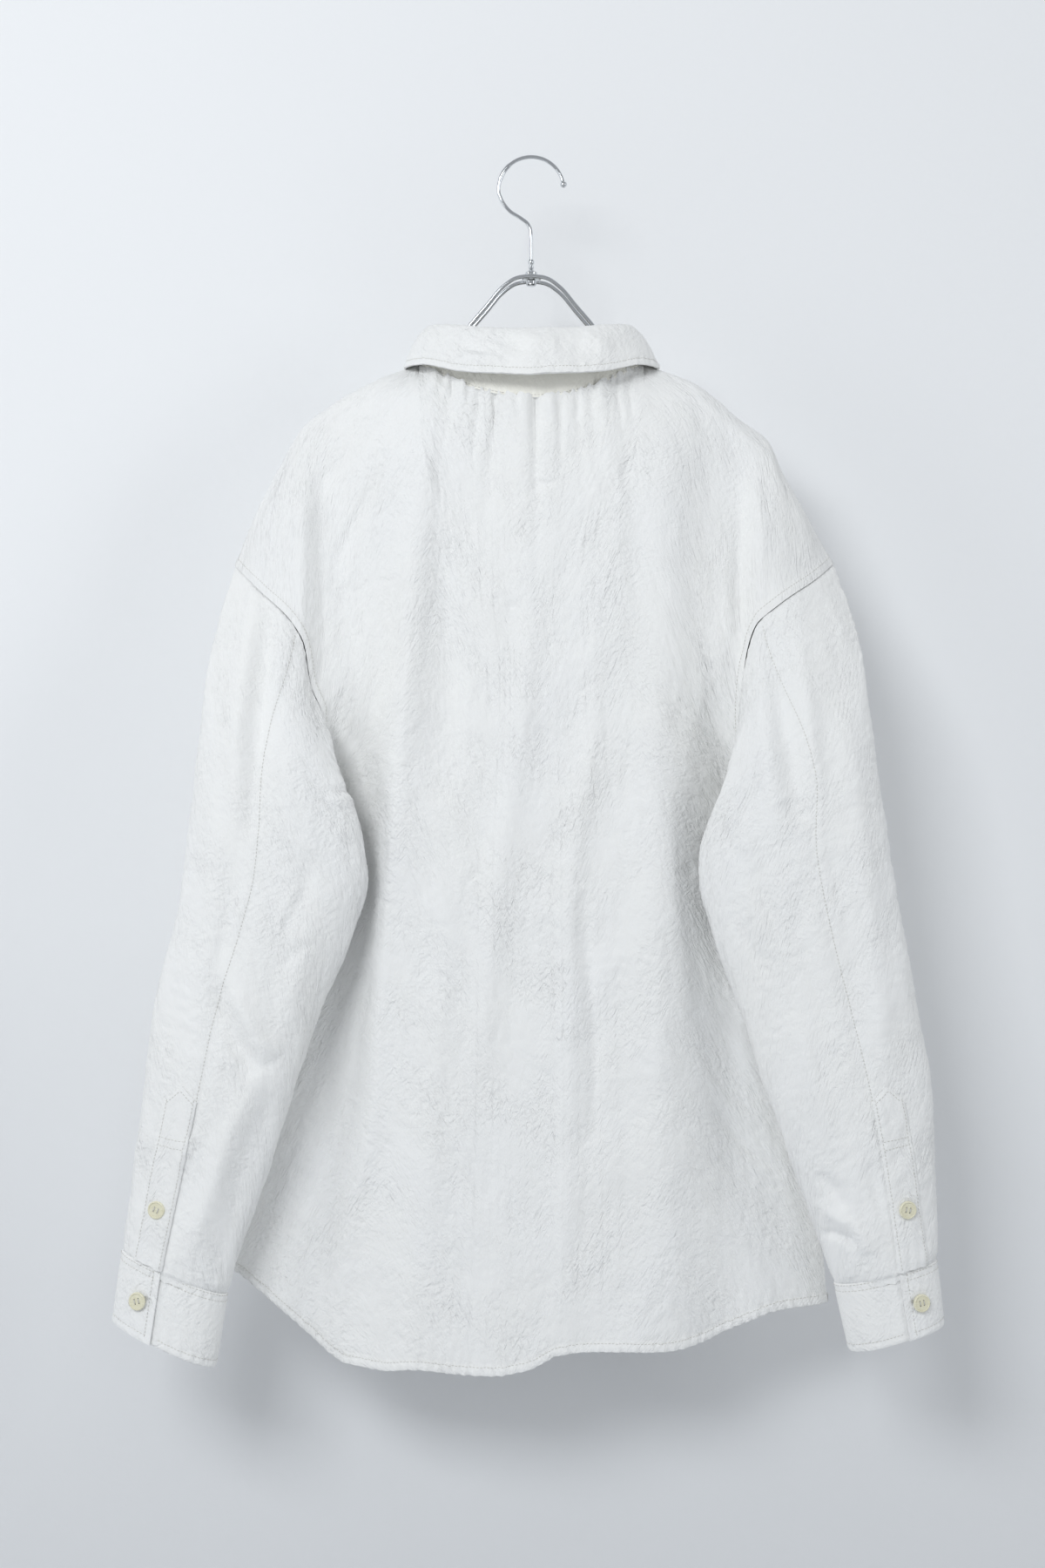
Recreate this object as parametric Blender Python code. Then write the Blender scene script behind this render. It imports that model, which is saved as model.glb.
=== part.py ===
"""A crumpled long-sleeved cotton shirt on a two-wire hanger, in metres with +Z up.

The origin is the inside of the hook's crown, where the hanger bears on its peg. The shirt's back
faces -Y and its fronts face +Y, so the wearer's left is towards -X. "Out" is the distance from
the shirt's middle line to either side, and "drop" is the distance below the origin. Each cloth
piece is a closed wall: its outer face is a grid of points, and its inner face is that grid moved
in by the cloth's thickness. Pieces that share a seam share its points, drawn back by a small gap.
"""

import math

import bmesh
import bpy
import numpy as np
from mathutils import Vector

# Cloth
WALL = 0.0015  # one layer of shirting
FIRM_WALL = 0.0022  # the stand and the cuffs, with their interlining
SEAM_GAP = 0.0002  # each piece stops this far short of its seam
LAY_GAP = 0.0005  # between a panel and what is sewn on it
LEFT, RIGHT = -1, 1

# Collar
NECK_HALF, NECK_BACK, NECK_FRONT = 0.088, 0.040, 0.045
NECK_DROP, NECK_SIDE_DROP, NECK_FRONT_DROP = 0.1935, 0.161, 0.232
FOLD_HALF, FOLD_BACK, FOLD_FRONT = 0.073, 0.030, 0.050
FOLD_DROP, FOLD_SIDE_DROP, FOLD_FRONT_DROP = 0.139, 0.131, 0.196
FRONT_LAP = 0.015  # how far each front runs past the middle line

# Sleeve plackets, cuffs and buttons
PLACKET_WIDTH, PLACKET_POINT = 0.025, 0.012
CUFF_BUTTON = 0.0066  # radius
FRONT_BUTTON = 0.0056
BUTTON_THICK = 0.0022

# Hanger
HOOK_WIRE, YOKE_WIRE = 0.0015, 0.0016  # radii
HOOK_BEND = 0.0254  # radius of the hook's middle line

# Rows and columns of the grids. The armhole's rows crowd towards the shoulder, which folds over.
ARM_ROWS = (0, 0.006, 0.02, 0.055, 0.13, 0.23, 0.34, 0.47, 0.62, 0.76, 0.88, 0.96, 1)
SIDE_ROWS = 7
SHOULDER_COLUMNS = 7
NECK_COLUMNS = 7  # on each side of the middle
ARM_SHARE = 0.45  # of a panel's height lies above the underarm
SLEEVE_ROWS = 13
BACK_SEAM = 6  # column of the sleeve's back seam, counted from the underarm
SLEEVE_TURN = (-38, -30, -16, 6, 32, 66, 101, 124, 145, 162, 171, 176, 180, 184, 189, 198, 215,
               236, 255, 272, 286, 298, 308, 316, 322)


# ---------------------------------------------------------------- curves and shapes


def profile(*stations):
    """A smooth curve through stations (s, a, b, ...) that never swings past them."""
    table = np.array(stations, float)
    s, values = table[:, 0], table[:, 1:]
    slope = np.diff(values, axis=0) / np.diff(s)[:, None]
    tangent = np.zeros_like(values)
    same = slope[:-1] * slope[1:] > 0
    total = np.where(same, slope[:-1] + slope[1:], 1)
    tangent[1:-1] = np.where(same, 2 * slope[:-1] * slope[1:] / total, 0)
    tangent[0], tangent[-1] = slope[0], slope[-1]

    def at(t):
        t = np.clip(np.asarray(t, float), s[0], s[-1])
        i = np.clip(np.searchsorted(s, t, side="right") - 1, 0, len(s) - 2)
        step = (s[i + 1] - s[i])[..., None]
        k = (t - s[i])[..., None] / step
        rise = values[i] * (1 + 2 * k) * (1 - k) ** 2 + values[i + 1] * k * k * (3 - 2 * k)
        lean = tangent[i] * k * (1 - k) ** 2 + tangent[i + 1] * k * k * (k - 1)
        found = rise + step * lean
        return found[..., 0] if values.shape[1] == 1 else found

    return at


def along(points, fractions):
    """Points at the given fractions of the length of a smooth curve through points."""
    points = np.array(points, float)
    length = np.concatenate([[0], np.cumsum(np.linalg.norm(np.diff(points, axis=0), axis=1))])
    return profile(*np.column_stack([length / length[-1], points]))(fractions)


def ease(value, start, end):
    """0 at start, 1 at end, with a smooth rise between."""
    k = np.clip((value - start) / (end - start), 0, 1)
    return k * k * (3 - 2 * k)


def unit(vectors):
    return vectors / np.maximum(np.linalg.norm(vectors, axis=-1, keepdims=True), 1e-12)


# ---------------------------------------------------------------- the garment's lines

# Shoulder ridge, from the shoulder point to the collar: out, drop.
SHOULDER = {
    LEFT: ((0.2310, 0.318), (0.2180, 0.284), (0.2040, 0.257), (0.1870, 0.2235), (0.1770, 0.2085),
           (0.1560, 0.193), (0.1290, 0.1775), (0.1060, 0.167), (NECK_HALF, NECK_SIDE_DROP)),
    RIGHT: ((0.2355, 0.3165), (0.2180, 0.284), (0.1970, 0.247), (0.1845, 0.221), (0.1630, 0.204),
            (0.1290, 0.1775), (0.1060, 0.167), (NECK_HALF, NECK_SIDE_DROP)),
}
# Armhole from the shoulder point to the underarm, over the back: out, y, drop.
ARMHOLE_BACK = {
    LEFT: ((0.231, 0, 0.318), (0.207, -0.032, 0.341), (0.183, -0.045, 0.364),
           (0.173, -0.046, 0.382), (0.168, -0.044, 0.413), (0.160, -0.040, 0.436),
           (0.162, -0.034, 0.465), (0.178, -0.020, 0.502), (0.198, -0.006, 0.525)),
    RIGHT: ((0.2355, 0, 0.3165), (0.2195, -0.024, 0.330), (0.188, -0.045, 0.352),
            (0.170, -0.046, 0.369), (0.163, -0.043, 0.395), (0.160, -0.040, 0.430),
            (0.163, -0.034, 0.465), (0.178, -0.020, 0.502), (0.198, -0.006, 0.525)),
}
# And over the front.
ARMHOLE_FRONT = {
    LEFT: ((0.231, 0, 0.318), (0.217, 0.021, 0.343), (0.207, 0.027, 0.385), (0.202, 0.024, 0.440),
           (0.200, 0.012, 0.490), (0.198, -0.006, 0.525)),
    RIGHT: ((0.2355, 0, 0.3165), (0.219, 0.021, 0.343), (0.206, 0.027, 0.385),
            (0.202, 0.024, 0.440), (0.200, 0.012, 0.490), (0.198, -0.006, 0.525)),
}
# Side seam from the underarm to the hem: out, y, drop.
SIDE_SEAM = {
    LEFT: ((0.198, -0.006, 0.525), (0.206, -0.003, 0.620), (0.222, -0.003, 0.760),
           (0.238, -0.004, 0.862)),
    RIGHT: ((0.198, -0.006, 0.525), (0.206, -0.003, 0.620), (0.219, -0.003, 0.760),
            (0.2305, -0.004, 0.884)),
}
# Hem: x, drop of the back, drop of the front.
HEM = profile((-0.238, 0.862, 0.862), (-0.200, 0.898, 0.892), (-0.160, 0.925, 0.908),
              (-0.100, 0.941, 0.918), (-0.030, 0.943, 0.920), (0.030, 0.934, 0.918),
              (0.100, 0.921, 0.910), (0.180, 0.900, 0.898), (0.2305, 0.884, 0.884))

# How far the back and the fronts stand from the middle plane: drop, at the middle, at the sides.
BACK_DEPTH = profile((0.19, 0.040, 0.021), (0.26, 0.046, 0.022), (0.45, 0.050, 0.018),
                     (0.70, 0.046, 0.015), (0.94, 0.041, 0.015))
FRONT_DEPTH = profile((0.16, 0.044, 0.021), (0.26, 0.046, 0.021), (0.45, 0.042, 0.017),
                      (0.70, 0.037, 0.014), (0.94, 0.034, 0.014))
YOKE_LIP = 0.0180  # the shoulder is flat this far either side, over the two wires
CAP_DEPTH = 0.019  # how far the dropped shoulder stands out past the back beside it

# The largest hanging folds: height, half-width, then a path of (drop, x).
BACK_FOLDS = (
    (0.008, 0.013, ((0.19, -0.074), (0.365, -0.091), (0.611, -0.118), (0.92, -0.151))),
    (0.005, 0.012, ((0.26, 0.008), (0.353, 0.002), (0.611, -0.028), (0.93, -0.050))),
    (0.004, 0.012, ((0.30, 0.062), (0.437, 0.050), (0.611, 0.034), (0.93, 0.026))),
    (0.006, 0.017, ((0.30, 0.118), (0.611, 0.096), (0.93, 0.120))),
)
FRONT_FOLDS = (
    (0.006, 0.015, ((0.20, -0.100), (0.50, -0.110), (0.90, -0.140))),
    (0.005, 0.014, ((0.30, -0.048), (0.60, -0.060), (0.90, -0.068))),
    (0.005, 0.014, ((0.30, 0.052), (0.60, 0.058), (0.90, 0.070))),
    (0.006, 0.015, ((0.20, 0.104), (0.50, 0.118), (0.90, 0.138))),
)
GATHER_DEPTH, GATHER_FADE = 0.0016, 0.05

# Sleeve: drop, out of the inner edge, out of the outer edge.
SLEEVE_EDGES = {
    LEFT: profile((0.30, 0.176, 0.226), (0.36, 0.166, 0.238), (0.43, 0.1535, 0.2485),
                  (0.46, 0.1415, 0.2515), (0.52, 0.1205, 0.2575), (0.554, 0.1215, 0.262),
                  (0.60, 0.136, 0.271), (0.653, 0.1586, 0.284), (0.712, 0.178, 0.2915),
                  (0.77, 0.1975, 0.2990), (0.873, 0.2309, 0.3140)),
    RIGHT: profile((0.30, 0.180, 0.230), (0.36, 0.168, 0.2455), (0.43, 0.1595, 0.2555),
                   (0.476, 0.1433, 0.2612), (0.537, 0.1235, 0.270), (0.56, 0.1265, 0.2735),
                   (0.60, 0.1375, 0.2800), (0.66, 0.158, 0.2915), (0.712, 0.1755, 0.3005),
                   (0.77, 0.197, 0.3045), (0.865, 0.2298, 0.3068)),
}
# Sleeve: drop, y of its middle, half its depth.
SLEEVE_DEPTH = profile((0.30, -0.018, 0.016), (0.40, -0.043, 0.025), (0.55, -0.052, 0.028),
                       (0.72, -0.052, 0.027), (0.80, -0.050, 0.024), (0.88, -0.050, 0.0215))
UNDERARM_DROP = 0.520  # the sleeve's hidden side stays out beyond the body down to here
# Cuff, top then bottom: inner out and drop, outer out and drop.
CUFF_EDGES = {
    LEFT: ((0.2309, 0.873, 0.3094, 0.840), (0.2395, 0.929, 0.3173, 0.8934)),
    RIGHT: ((0.2298, 0.865, 0.3063, 0.8472), (0.2410, 0.9165, 0.3122, 0.8966)),
}
CUFF_DEPTH = (0.0215, 0.0225)  # half the cuff's depth, top then bottom
PLACKET_TOP = 0.725  # drop of the placket's shoulders
PLACKET_BUTTON_DROP, CUFF_BUTTON_SHARE, CUFF_BUTTON_TURN = 0.806, 0.50, 20
CUFF_LAP_TURN = 34  # how far round the cuff's under end reaches past the slit
FRONT_BUTTON_COUNT, FRONT_BUTTON_DROP, FRONT_BUTTON_PITCH = 6, 0.300, 0.094
# Collar fall: turn from the middle of the back, then its edge's out, y and drop.
FALL_TURNS = (0, 13, 26, 39, 52, 65, 78, 91, 104, 117, 130, 143, 156, 169)
FALL_EDGE = profile((0, 0.0, -0.062, 0.178), (35, 0.052, -0.051, 0.1735), (65, 0.086, -0.030, 0.164),
                    (90, 0.099, -0.002, 0.160), (115, 0.099, 0.031, 0.180),
                    (145, 0.080, 0.062, 0.224), (169, 0.060, 0.072, 0.262))
FALL_FOLD = profile((0, 0), (90, 90), (130, 134), (169, 177))  # turn of the fold above it
# Hook's swan neck and stem: x, y, z, from where its bend ends.
HOOK_NECK = ((-0.0225, 0, -0.0335), (-0.0165, 0, -0.0410), (-0.0080, 0, -0.0465),
             (-0.0030, 0, -0.0505), (-0.0005, 0, -0.0560), (0, 0, -0.0630), (0, 0, -0.0790))
FERRULE = ((0, 0.0794), (0.0021, 0.0794), (0.0024, 0.0815), (0.0016, 0.0828), (0.0016, 0.0838),
           (0.0022, 0.0850), (0.0016, 0.0862), (0.0022, 0.0876), (0.0044, 0.0886),
           (0.0046, 0.0905), (0.0070, 0.0912), (0.0076, 0.0930), (0.0070, 0.0948),
           (0.0040, 0.0968), (0.0036, 0.0990), (0, 0.0996))
# Yoke wire, from the middle to an end: out, distance from the hook's plane, drop.
YOKE = ((0, 0.0100, 0.0934), (0.0107, 0.0100, 0.0950), (0.0226, 0.0100, 0.1027),
        (0.0345, 0.0100, 0.1167), (0.0463, 0.0100, 0.1304), (0.0590, 0.0102, 0.1468),
        (0.0740, 0.0104, 0.1640), (0.0860, 0.0107, 0.1735), (0.1080, 0.0112, 0.1830),
        (0.1290, 0.0117, 0.1915), (0.1480, 0.0120, 0.2030), (0.1650, 0.0120, 0.2160))
YOKE_SLOPE = (0.87, 0.47)  # out and down, the way the wire leaves at each end


# ---------------------------------------------------------------- grids of points


def neck_point(turn):
    """A point of the neck seam: turn 0 is the middle of the back, 180 that of the front."""
    a = math.radians(turn)
    depth, low = (NECK_BACK, NECK_DROP) if abs(turn) <= 90 else (NECK_FRONT, NECK_FRONT_DROP)
    drop = NECK_SIDE_DROP + (low - NECK_SIDE_DROP) * math.cos(a) ** 2
    return np.array([NECK_HALF * math.sin(a), -depth * math.cos(a), -drop])


def fold_point(turn):
    """A point of the collar's fold line, above neck_point at the same turn."""
    a = math.radians(turn)
    depth, low = (FOLD_BACK, FOLD_DROP) if abs(turn) <= 90 else (FOLD_FRONT, FOLD_FRONT_DROP)
    drop = FOLD_SIDE_DROP + (low - FOLD_SIDE_DROP) * math.cos(a) ** 2
    return np.array([FOLD_HALF * math.sin(a), -depth * math.cos(a), -drop])


def placed(side, table):
    """Rows of (out, y, drop) as points on one side of the shirt."""
    out, y, drop = np.array(table, float).T
    return np.column_stack([side * out, y, -drop])


def shoulder_line(side):
    """The shoulder seam, from the shoulder point to the collar."""
    table = [(out, 0, drop) for out, drop in SHOULDER[side]]
    return along(placed(side, table), np.linspace(0, 1, SHOULDER_COLUMNS + 1))


def side_line(side, armhole):
    """The armhole from the shoulder point down, and then the side seam."""
    arm = along(placed(side, armhole[side]), ARM_ROWS)
    seam = along(placed(side, SIDE_SEAM[side]), np.linspace(0, 1, SIDE_ROWS + 1))
    return np.vstack([arm, seam[1:]])


def panel_rows():
    """How far down the panel each row lies, from 0 at the neck to 1 at the hem."""
    arm = ARM_SHARE * np.array(ARM_ROWS)
    return np.concatenate([arm, np.linspace(ARM_SHARE, 1, SIDE_ROWS + 1)[1:]])


def folds(table, x, drop):
    """The height of the hanging folds over a panel."""
    height = np.zeros_like(x)
    for rise, spread, path in table:
        middle = profile(*path)(drop)
        height += rise * np.exp(-(((x - middle) / spread) ** 2))
    return height


def back_depth(x, drop):
    middle, sides = np.moveaxis(BACK_DEPTH(drop), -1, 0)
    depth = middle + (sides - middle) * ease(np.abs(x), 0.085, 0.160)
    cap = ease(drop, 0.235, 0.290) * (1 - ease(drop, 0.385, 0.430))
    depth = depth + CAP_DEPTH * cap * ease(np.abs(x), 0.160, 0.176)
    return depth + folds(BACK_FOLDS, x, drop) * ease(drop, 0.17, 0.24)


def front_depth(x, drop):
    middle, sides = np.moveaxis(FRONT_DEPTH(drop), -1, 0)
    depth = middle + (sides - middle) * ease(np.abs(x), 0.060, 0.150)
    return depth + folds(FRONT_FOLDS, x, drop) * ease(drop, 0.22, 0.32)


def panel(top, bottom_x, bottom_drop, left, right, depth, face, lip):
    """The outer face of a body panel between its four edges.

    face is -1 for the back and 1 for a front, depth(x, drop) is how far it stands from the
    middle plane, and lip is how far each column runs level before it turns down.
    """
    rows = panel_rows()[:, None]
    top_share = (top[:, 0] - top[0, 0]) / (top[-1, 0] - top[0, 0])
    low_share = (bottom_x - bottom_x[0]) / (bottom_x[-1] - bottom_x[0])
    share = top_share + (low_share - top_share) * rows
    x = left[:, :1] + (right[:, :1] - left[:, :1]) * share
    z = top[:, 2] + (-bottom_drop - top[:, 2]) * rows
    z = z + (left[:, 2] - z[:, 0])[:, None] * (1 - share) ** 6
    z = z + (right[:, 2] - z[:, -1])[:, None] * share ** 6
    fallen = top[:, 2] - z
    full = face * depth(x, -z)
    turned = 1 - np.exp(-fallen / 0.003)
    settled = 1 - np.exp(-fallen / 0.030)
    y = top[:, 1] + face * lip * turned + (full - top[:, 1] - face * lip) * settled
    y = y + (left[:, 1] - y[:, 0])[:, None] * np.exp(-np.abs(x - left[:, :1]) / 0.016)
    y = y + (right[:, 1] - y[:, -1])[:, None] * np.exp(-np.abs(right[:, :1] - x) / 0.016)
    grid = np.stack([x, y, z], axis=-1)
    grid[0], grid[:, 0], grid[:, -1] = top, left, right
    return grid


def lips(count_shoulder, count_rest, mirrored=False):
    """The lip of each column: none at the shoulder point and along the neck."""
    span = np.linspace(0, 1, count_shoulder + 1)
    shoulder = YOKE_LIP * ease(span, 0, 0.35) * (1 - 0.75 * ease(span, 0.8, 1))
    rest = np.zeros(count_rest)
    return np.concatenate([shoulder, rest, shoulder[::-1] if mirrored else []])


def back_grid():
    neck = [neck_point(t) for t in np.linspace(-90, 90, 2 * NECK_COLUMNS + 1)]
    left, right = shoulder_line(LEFT), shoulder_line(RIGHT)
    top = np.vstack([left, neck[1:-1], right[::-1]])
    gathered = slice(SHOULDER_COLUMNS + 1, SHOULDER_COLUMNS + 2 * NECK_COLUMNS)
    hem_x = np.linspace(-SIDE_SEAM[LEFT][-1][0], SIDE_SEAM[RIGHT][-1][0], len(top))
    lip = lips(SHOULDER_COLUMNS, 2 * NECK_COLUMNS - 1, mirrored=True)
    sides = [side_line(side, ARMHOLE_BACK) for side in (LEFT, RIGHT)]
    grid = panel(top, hem_x, HEM(hem_x)[:, 0], *sides, back_depth, -1, lip)
    fade = np.exp(-(top[gathered, 2] - grid[:, gathered, 2]) / GATHER_FADE)
    swing = np.where(np.arange(2 * NECK_COLUMNS - 1) % 2, 1, -1) * GATHER_DEPTH
    grid[:, gathered, 1] += swing * fade
    return grid


def front_grid(side):
    """A front, from its armhole to its edge past the middle line. The wearer's left laps over."""
    shoulder = shoulder_line(side)
    neck = [neck_point(side * t) for t in np.linspace(90, 180, NECK_COLUMNS + 1)]
    edge = neck_point(side * (180 + math.degrees(math.asin(FRONT_LAP / NECK_HALF))))
    top = np.vstack([shoulder, neck[1:], edge])
    seam_x = side * SIDE_SEAM[side][-1][0]
    hem_x = np.linspace(seam_x, 0, len(top) - 1)
    hem_x = np.append(hem_x, -side * FRONT_LAP)
    outer = side_line(side, ARMHOLE_FRONT)
    rows = panel_rows()
    low = -HEM(hem_x[-1])[1]
    inner = np.column_stack([np.full(len(rows), edge[0]),
                             np.zeros(len(rows)), edge[2] + (low - edge[2]) * rows])
    settled = 1 - np.exp(-(edge[2] - inner[:, 2]) / 0.030)
    full = front_depth(inner[:, 0], -inner[:, 2])
    inner[:, 1] = edge[1] + (full - edge[1]) * settled
    lip = lips(SHOULDER_COLUMNS, NECK_COLUMNS + 1)
    grid = panel(top, hem_x, HEM(hem_x)[:, 1], outer, inner, front_depth, 1, lip)
    if side == LEFT:
        rise = WALL + LAY_GAP + SEAM_GAP
        grid[..., 1] += rise * (1 - ease(-grid[..., 0], 0.016, 0.055))
    return grid


def sleeve_section(side, turn, drop):
    """A point of the hanging sleeve: turn 0 is its inner edge, 90 the side facing back."""
    a = np.radians(turn)
    inner, outer = np.moveaxis(SLEEVE_EDGES[side](drop), -1, 0)
    middle, half = np.moveaxis(SLEEVE_DEPTH(drop), -1, 0)
    out = (inner + outer) / 2 - (outer - inner) / 2 * np.cos(a)
    return np.stack([side * out, middle - half * np.sin(a), -drop], axis=-1)


def sleeve_end_drop(side, turn):
    inner, outer = CUFF_EDGES[side][0][1], CUFF_EDGES[side][0][3]
    return (inner + outer) / 2 + (inner - outer) / 2 * np.cos(np.radians(turn))


def sleeve_grid(side):
    """The sleeve's tube, from the armhole to the cuff; its columns start at the underarm."""
    back = along(placed(side, ARMHOLE_BACK[side]), ARM_ROWS)
    front = along(placed(side, ARMHOLE_FRONT[side]), ARM_ROWS)
    ring = np.vstack([back[::-1], front[1:]])
    turn = np.array(SLEEVE_TURN, float)
    rows = np.linspace(0, 1, SLEEVE_ROWS + 1)[:, None] ** 1.35
    drop = -ring[:, 2] + (sleeve_end_drop(side, turn) + ring[:, 2]) * rows
    body = sleeve_section(side, np.broadcast_to(turn, drop.shape), drop)
    start = body[0]
    fallen = drop - drop[0]
    under = np.abs(np.cos(np.radians(turn + 38) / 2))
    behind = np.where(turn > 180, ease(turn, 180, 215), ease(-turn, 0, 30))
    held = behind * np.maximum(UNDERARM_DROP - drop[0], 0)
    reach = 0.13 - 0.085 * under
    away = ring - start
    grid = body.copy()
    grid[..., 0] += away[:, 0] * (1 - ease(fallen, held, held + 0.17 - 0.08 * under))
    grid[..., 1] += away[:, 1] * (1 - ease(fallen, -0.01, reach)) / (1 - ease(0, -0.01, reach))
    return grid


# ---------------------------------------------------------------- walls


def grid_normals(grid, closed=False):
    """Unit normals of a grid, the cross product of its column and row directions."""
    if closed:
        padded = np.concatenate([grid[:, -2:-1], grid, grid[:, 1:2]], axis=1)
        across = (padded[:, 2:] - padded[:, :-2])
    else:
        across = np.gradient(grid, axis=1)
    down = np.gradient(grid, axis=0)
    return unit(np.cross(across, down))


def wall(grid, inward, thick=WALL, closed=False):
    """The two faces of a piece: its outer grid, and that grid moved in along its normals."""
    normals = inward * grid_normals(grid, closed)
    return [grid.copy(), grid + normals * thick]


def set_edge(faces, index, edge, into, away, thick=WALL):
    """Draws one edge of both faces back from its seam, and lets its wall lie along into."""
    outer, inner = faces
    outer[index] = edge + away * SEAM_GAP
    inner[index] = outer[index] + into * thick


def skin(mesh, faces):
    """Adds the two faces of a wall and its rim to a bmesh."""
    rows, columns = faces[0].shape[:2]
    points = [[[mesh.verts.new(face[r, c]) for c in range(columns)] for r in range(rows)]
              for face in faces]
    for c in range(columns - 1):
        for r in range(rows - 1):
            for layer in points:
                mesh.faces.new((layer[r][c], layer[r][c + 1], layer[r + 1][c + 1], layer[r + 1][c]))
        for r in (0, rows - 1):
            mesh.faces.new((points[0][r][c], points[0][r][c + 1],
                            points[1][r][c + 1], points[1][r][c]))
    for c in (0, columns - 1):
        for r in range(rows - 1):
            mesh.faces.new((points[0][r][c], points[0][r + 1][c],
                            points[1][r + 1][c], points[1][r][c]))


def finished(name, mesh, material, smooth_angle=50):
    """Turns a bmesh into a named object with its faces turned out."""
    bmesh.ops.recalc_face_normals(mesh, faces=mesh.faces)
    data = bpy.data.meshes.new(name)
    mesh.to_mesh(data)
    mesh.free()
    data.shade_smooth()
    data.set_sharp_from_angle(angle=math.radians(smooth_angle))
    data.materials.append(material)
    piece = bpy.data.objects.new(name, data)
    bpy.context.collection.objects.link(piece)
    return piece


def cloth_piece(name, faces, material):
    mesh = bmesh.new()
    skin(mesh, faces)
    return finished(name, mesh, material)


# ---------------------------------------------------------------- seams


def neck_seam(points):
    """Along the neck: the wall lies level, towards the neck's middle."""
    into = -points.copy()
    into[:, 2] = 0
    return unit(into)


def armhole_seam(ring, to_body, to_sleeve, side):
    """At the armhole: the wall halves the angle between the body and the sleeve.

    Returns the wall's direction at each point of the ring, and the direction across the seam
    towards the body.
    """
    closed = np.vstack([ring[-2], ring, ring[1]])
    tangent = unit(closed[2:] - closed[:-2])
    body_in = unit(np.cross(tangent, unit(to_body))) * -side
    sleeve_in = unit(np.cross(unit(to_sleeve), tangent)) * -side
    into = unit(body_in + sleeve_in)
    away = unit(np.cross(tangent, into))
    return into, away * np.sign(np.sum(away * to_body, axis=1, keepdims=True))


DOWN = np.array([0.0, 0.0, -1.0])
BACKWARD = np.array([0.0, -1.0, 0.0])
NECK_GAP = 3 * DOWN  # the gathers swing in and out under the stand, so their gap is wider


def join_at_shoulder_and_side(faces, grid, columns, edge, side, face):
    """Draws a panel back from the shoulder seam and the side seam it shares."""
    across = face * -BACKWARD
    inwards = np.array([-float(side), 0, 0])
    low = slice(len(ARM_ROWS) - 1, None)
    set_edge(faces, (0, columns), grid[0, columns], DOWN, across)
    set_edge(faces, (low, edge), grid[low, edge], inwards, across)


def sleeve_piece(faces, name, cotton):
    """One sleeve, whose two long edges meet at the seam down its back."""
    tube = faces[0]
    across = unit(tube[:, BACK_SEAM + 1] - tube[:, BACK_SEAM - 1]) * SEAM_GAP
    opened = []
    for face in faces:
        strip = np.concatenate([face[:, BACK_SEAM:-1], face[:, :BACK_SEAM + 1]], axis=1)
        strip[:, 0] += across
        strip[:, -1] -= across
        opened.append(strip)
    cloth_piece(f"sleeve_{name}", opened, cotton)


def body_and_sleeves(cotton):
    """The back, the two fronts and the two sleeves, which meet at shared seams."""
    arm = len(ARM_ROWS)
    half = arm - 1
    back = back_grid()
    back_faces = wall(back, 1)
    last = back.shape[1] - 1
    neck = slice(SHOULDER_COLUMNS, last - SHOULDER_COLUMNS + 1)
    set_edge(back_faces, (0, neck), back[0, neck], neck_seam(back[0, neck]), NECK_GAP)
    for side, name in ((LEFT, "left"), (RIGHT, "right")):
        front, sleeve = front_grid(side), sleeve_grid(side)
        front_faces, sleeve_faces = wall(front, side), wall(sleeve, side, closed=True)
        front_neck = slice(SHOULDER_COLUMNS, None)
        inward = neck_seam(front[0, front_neck])
        set_edge(front_faces, (0, front_neck), front[0, front_neck], inward, NECK_GAP)
        edge, near = (0, 1) if side == LEFT else (last, last - 1)
        ends = (0, SHOULDER_COLUMNS + 1) if side == LEFT else (last - SHOULDER_COLUMNS, last + 1)
        join_at_shoulder_and_side(back_faces, back, slice(*ends), edge, side, -1)
        join_at_shoulder_and_side(front_faces, front, slice(0, SHOULDER_COLUMNS + 1), 0, side, 1)
        ring = sleeve[0]
        back_next, front_next = back[:arm, near], front[:arm, 1]
        to_back, to_front = back_next - back[:arm, edge], front_next - front[:arm, 0]
        to_body = np.vstack([to_back[::-1], to_front[1:]])
        to_body[half] = (to_back[0] + to_front[0]) / 2
        to_body[0] = to_body[-1] = (to_back[-1] + to_front[-1]) / 2
        into, away = armhole_seam(ring, to_body, sleeve[1] - ring, side)
        set_edge(back_faces, (slice(0, arm), edge), ring[half::-1], into[half::-1], away[half::-1])
        set_edge(front_faces, (slice(0, arm), 0), ring[half:], into[half:], away[half:])
        set_edge(sleeve_faces, (0, slice(None)), ring, into, -away)
        for faces, face in ((back_faces, -1), (front_faces, 1)):
            at = edge if face == -1 else 0
            for layer in faces:
                layer[(0, half), at, 1] += face * SEAM_GAP
        cloth_piece(f"front_{name}", front_faces, cotton)
        sleeve_piece(sleeve_faces, name, cotton)
    cloth_piece("back", back_faces, cotton)


# ---------------------------------------------------------------- collar


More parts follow.
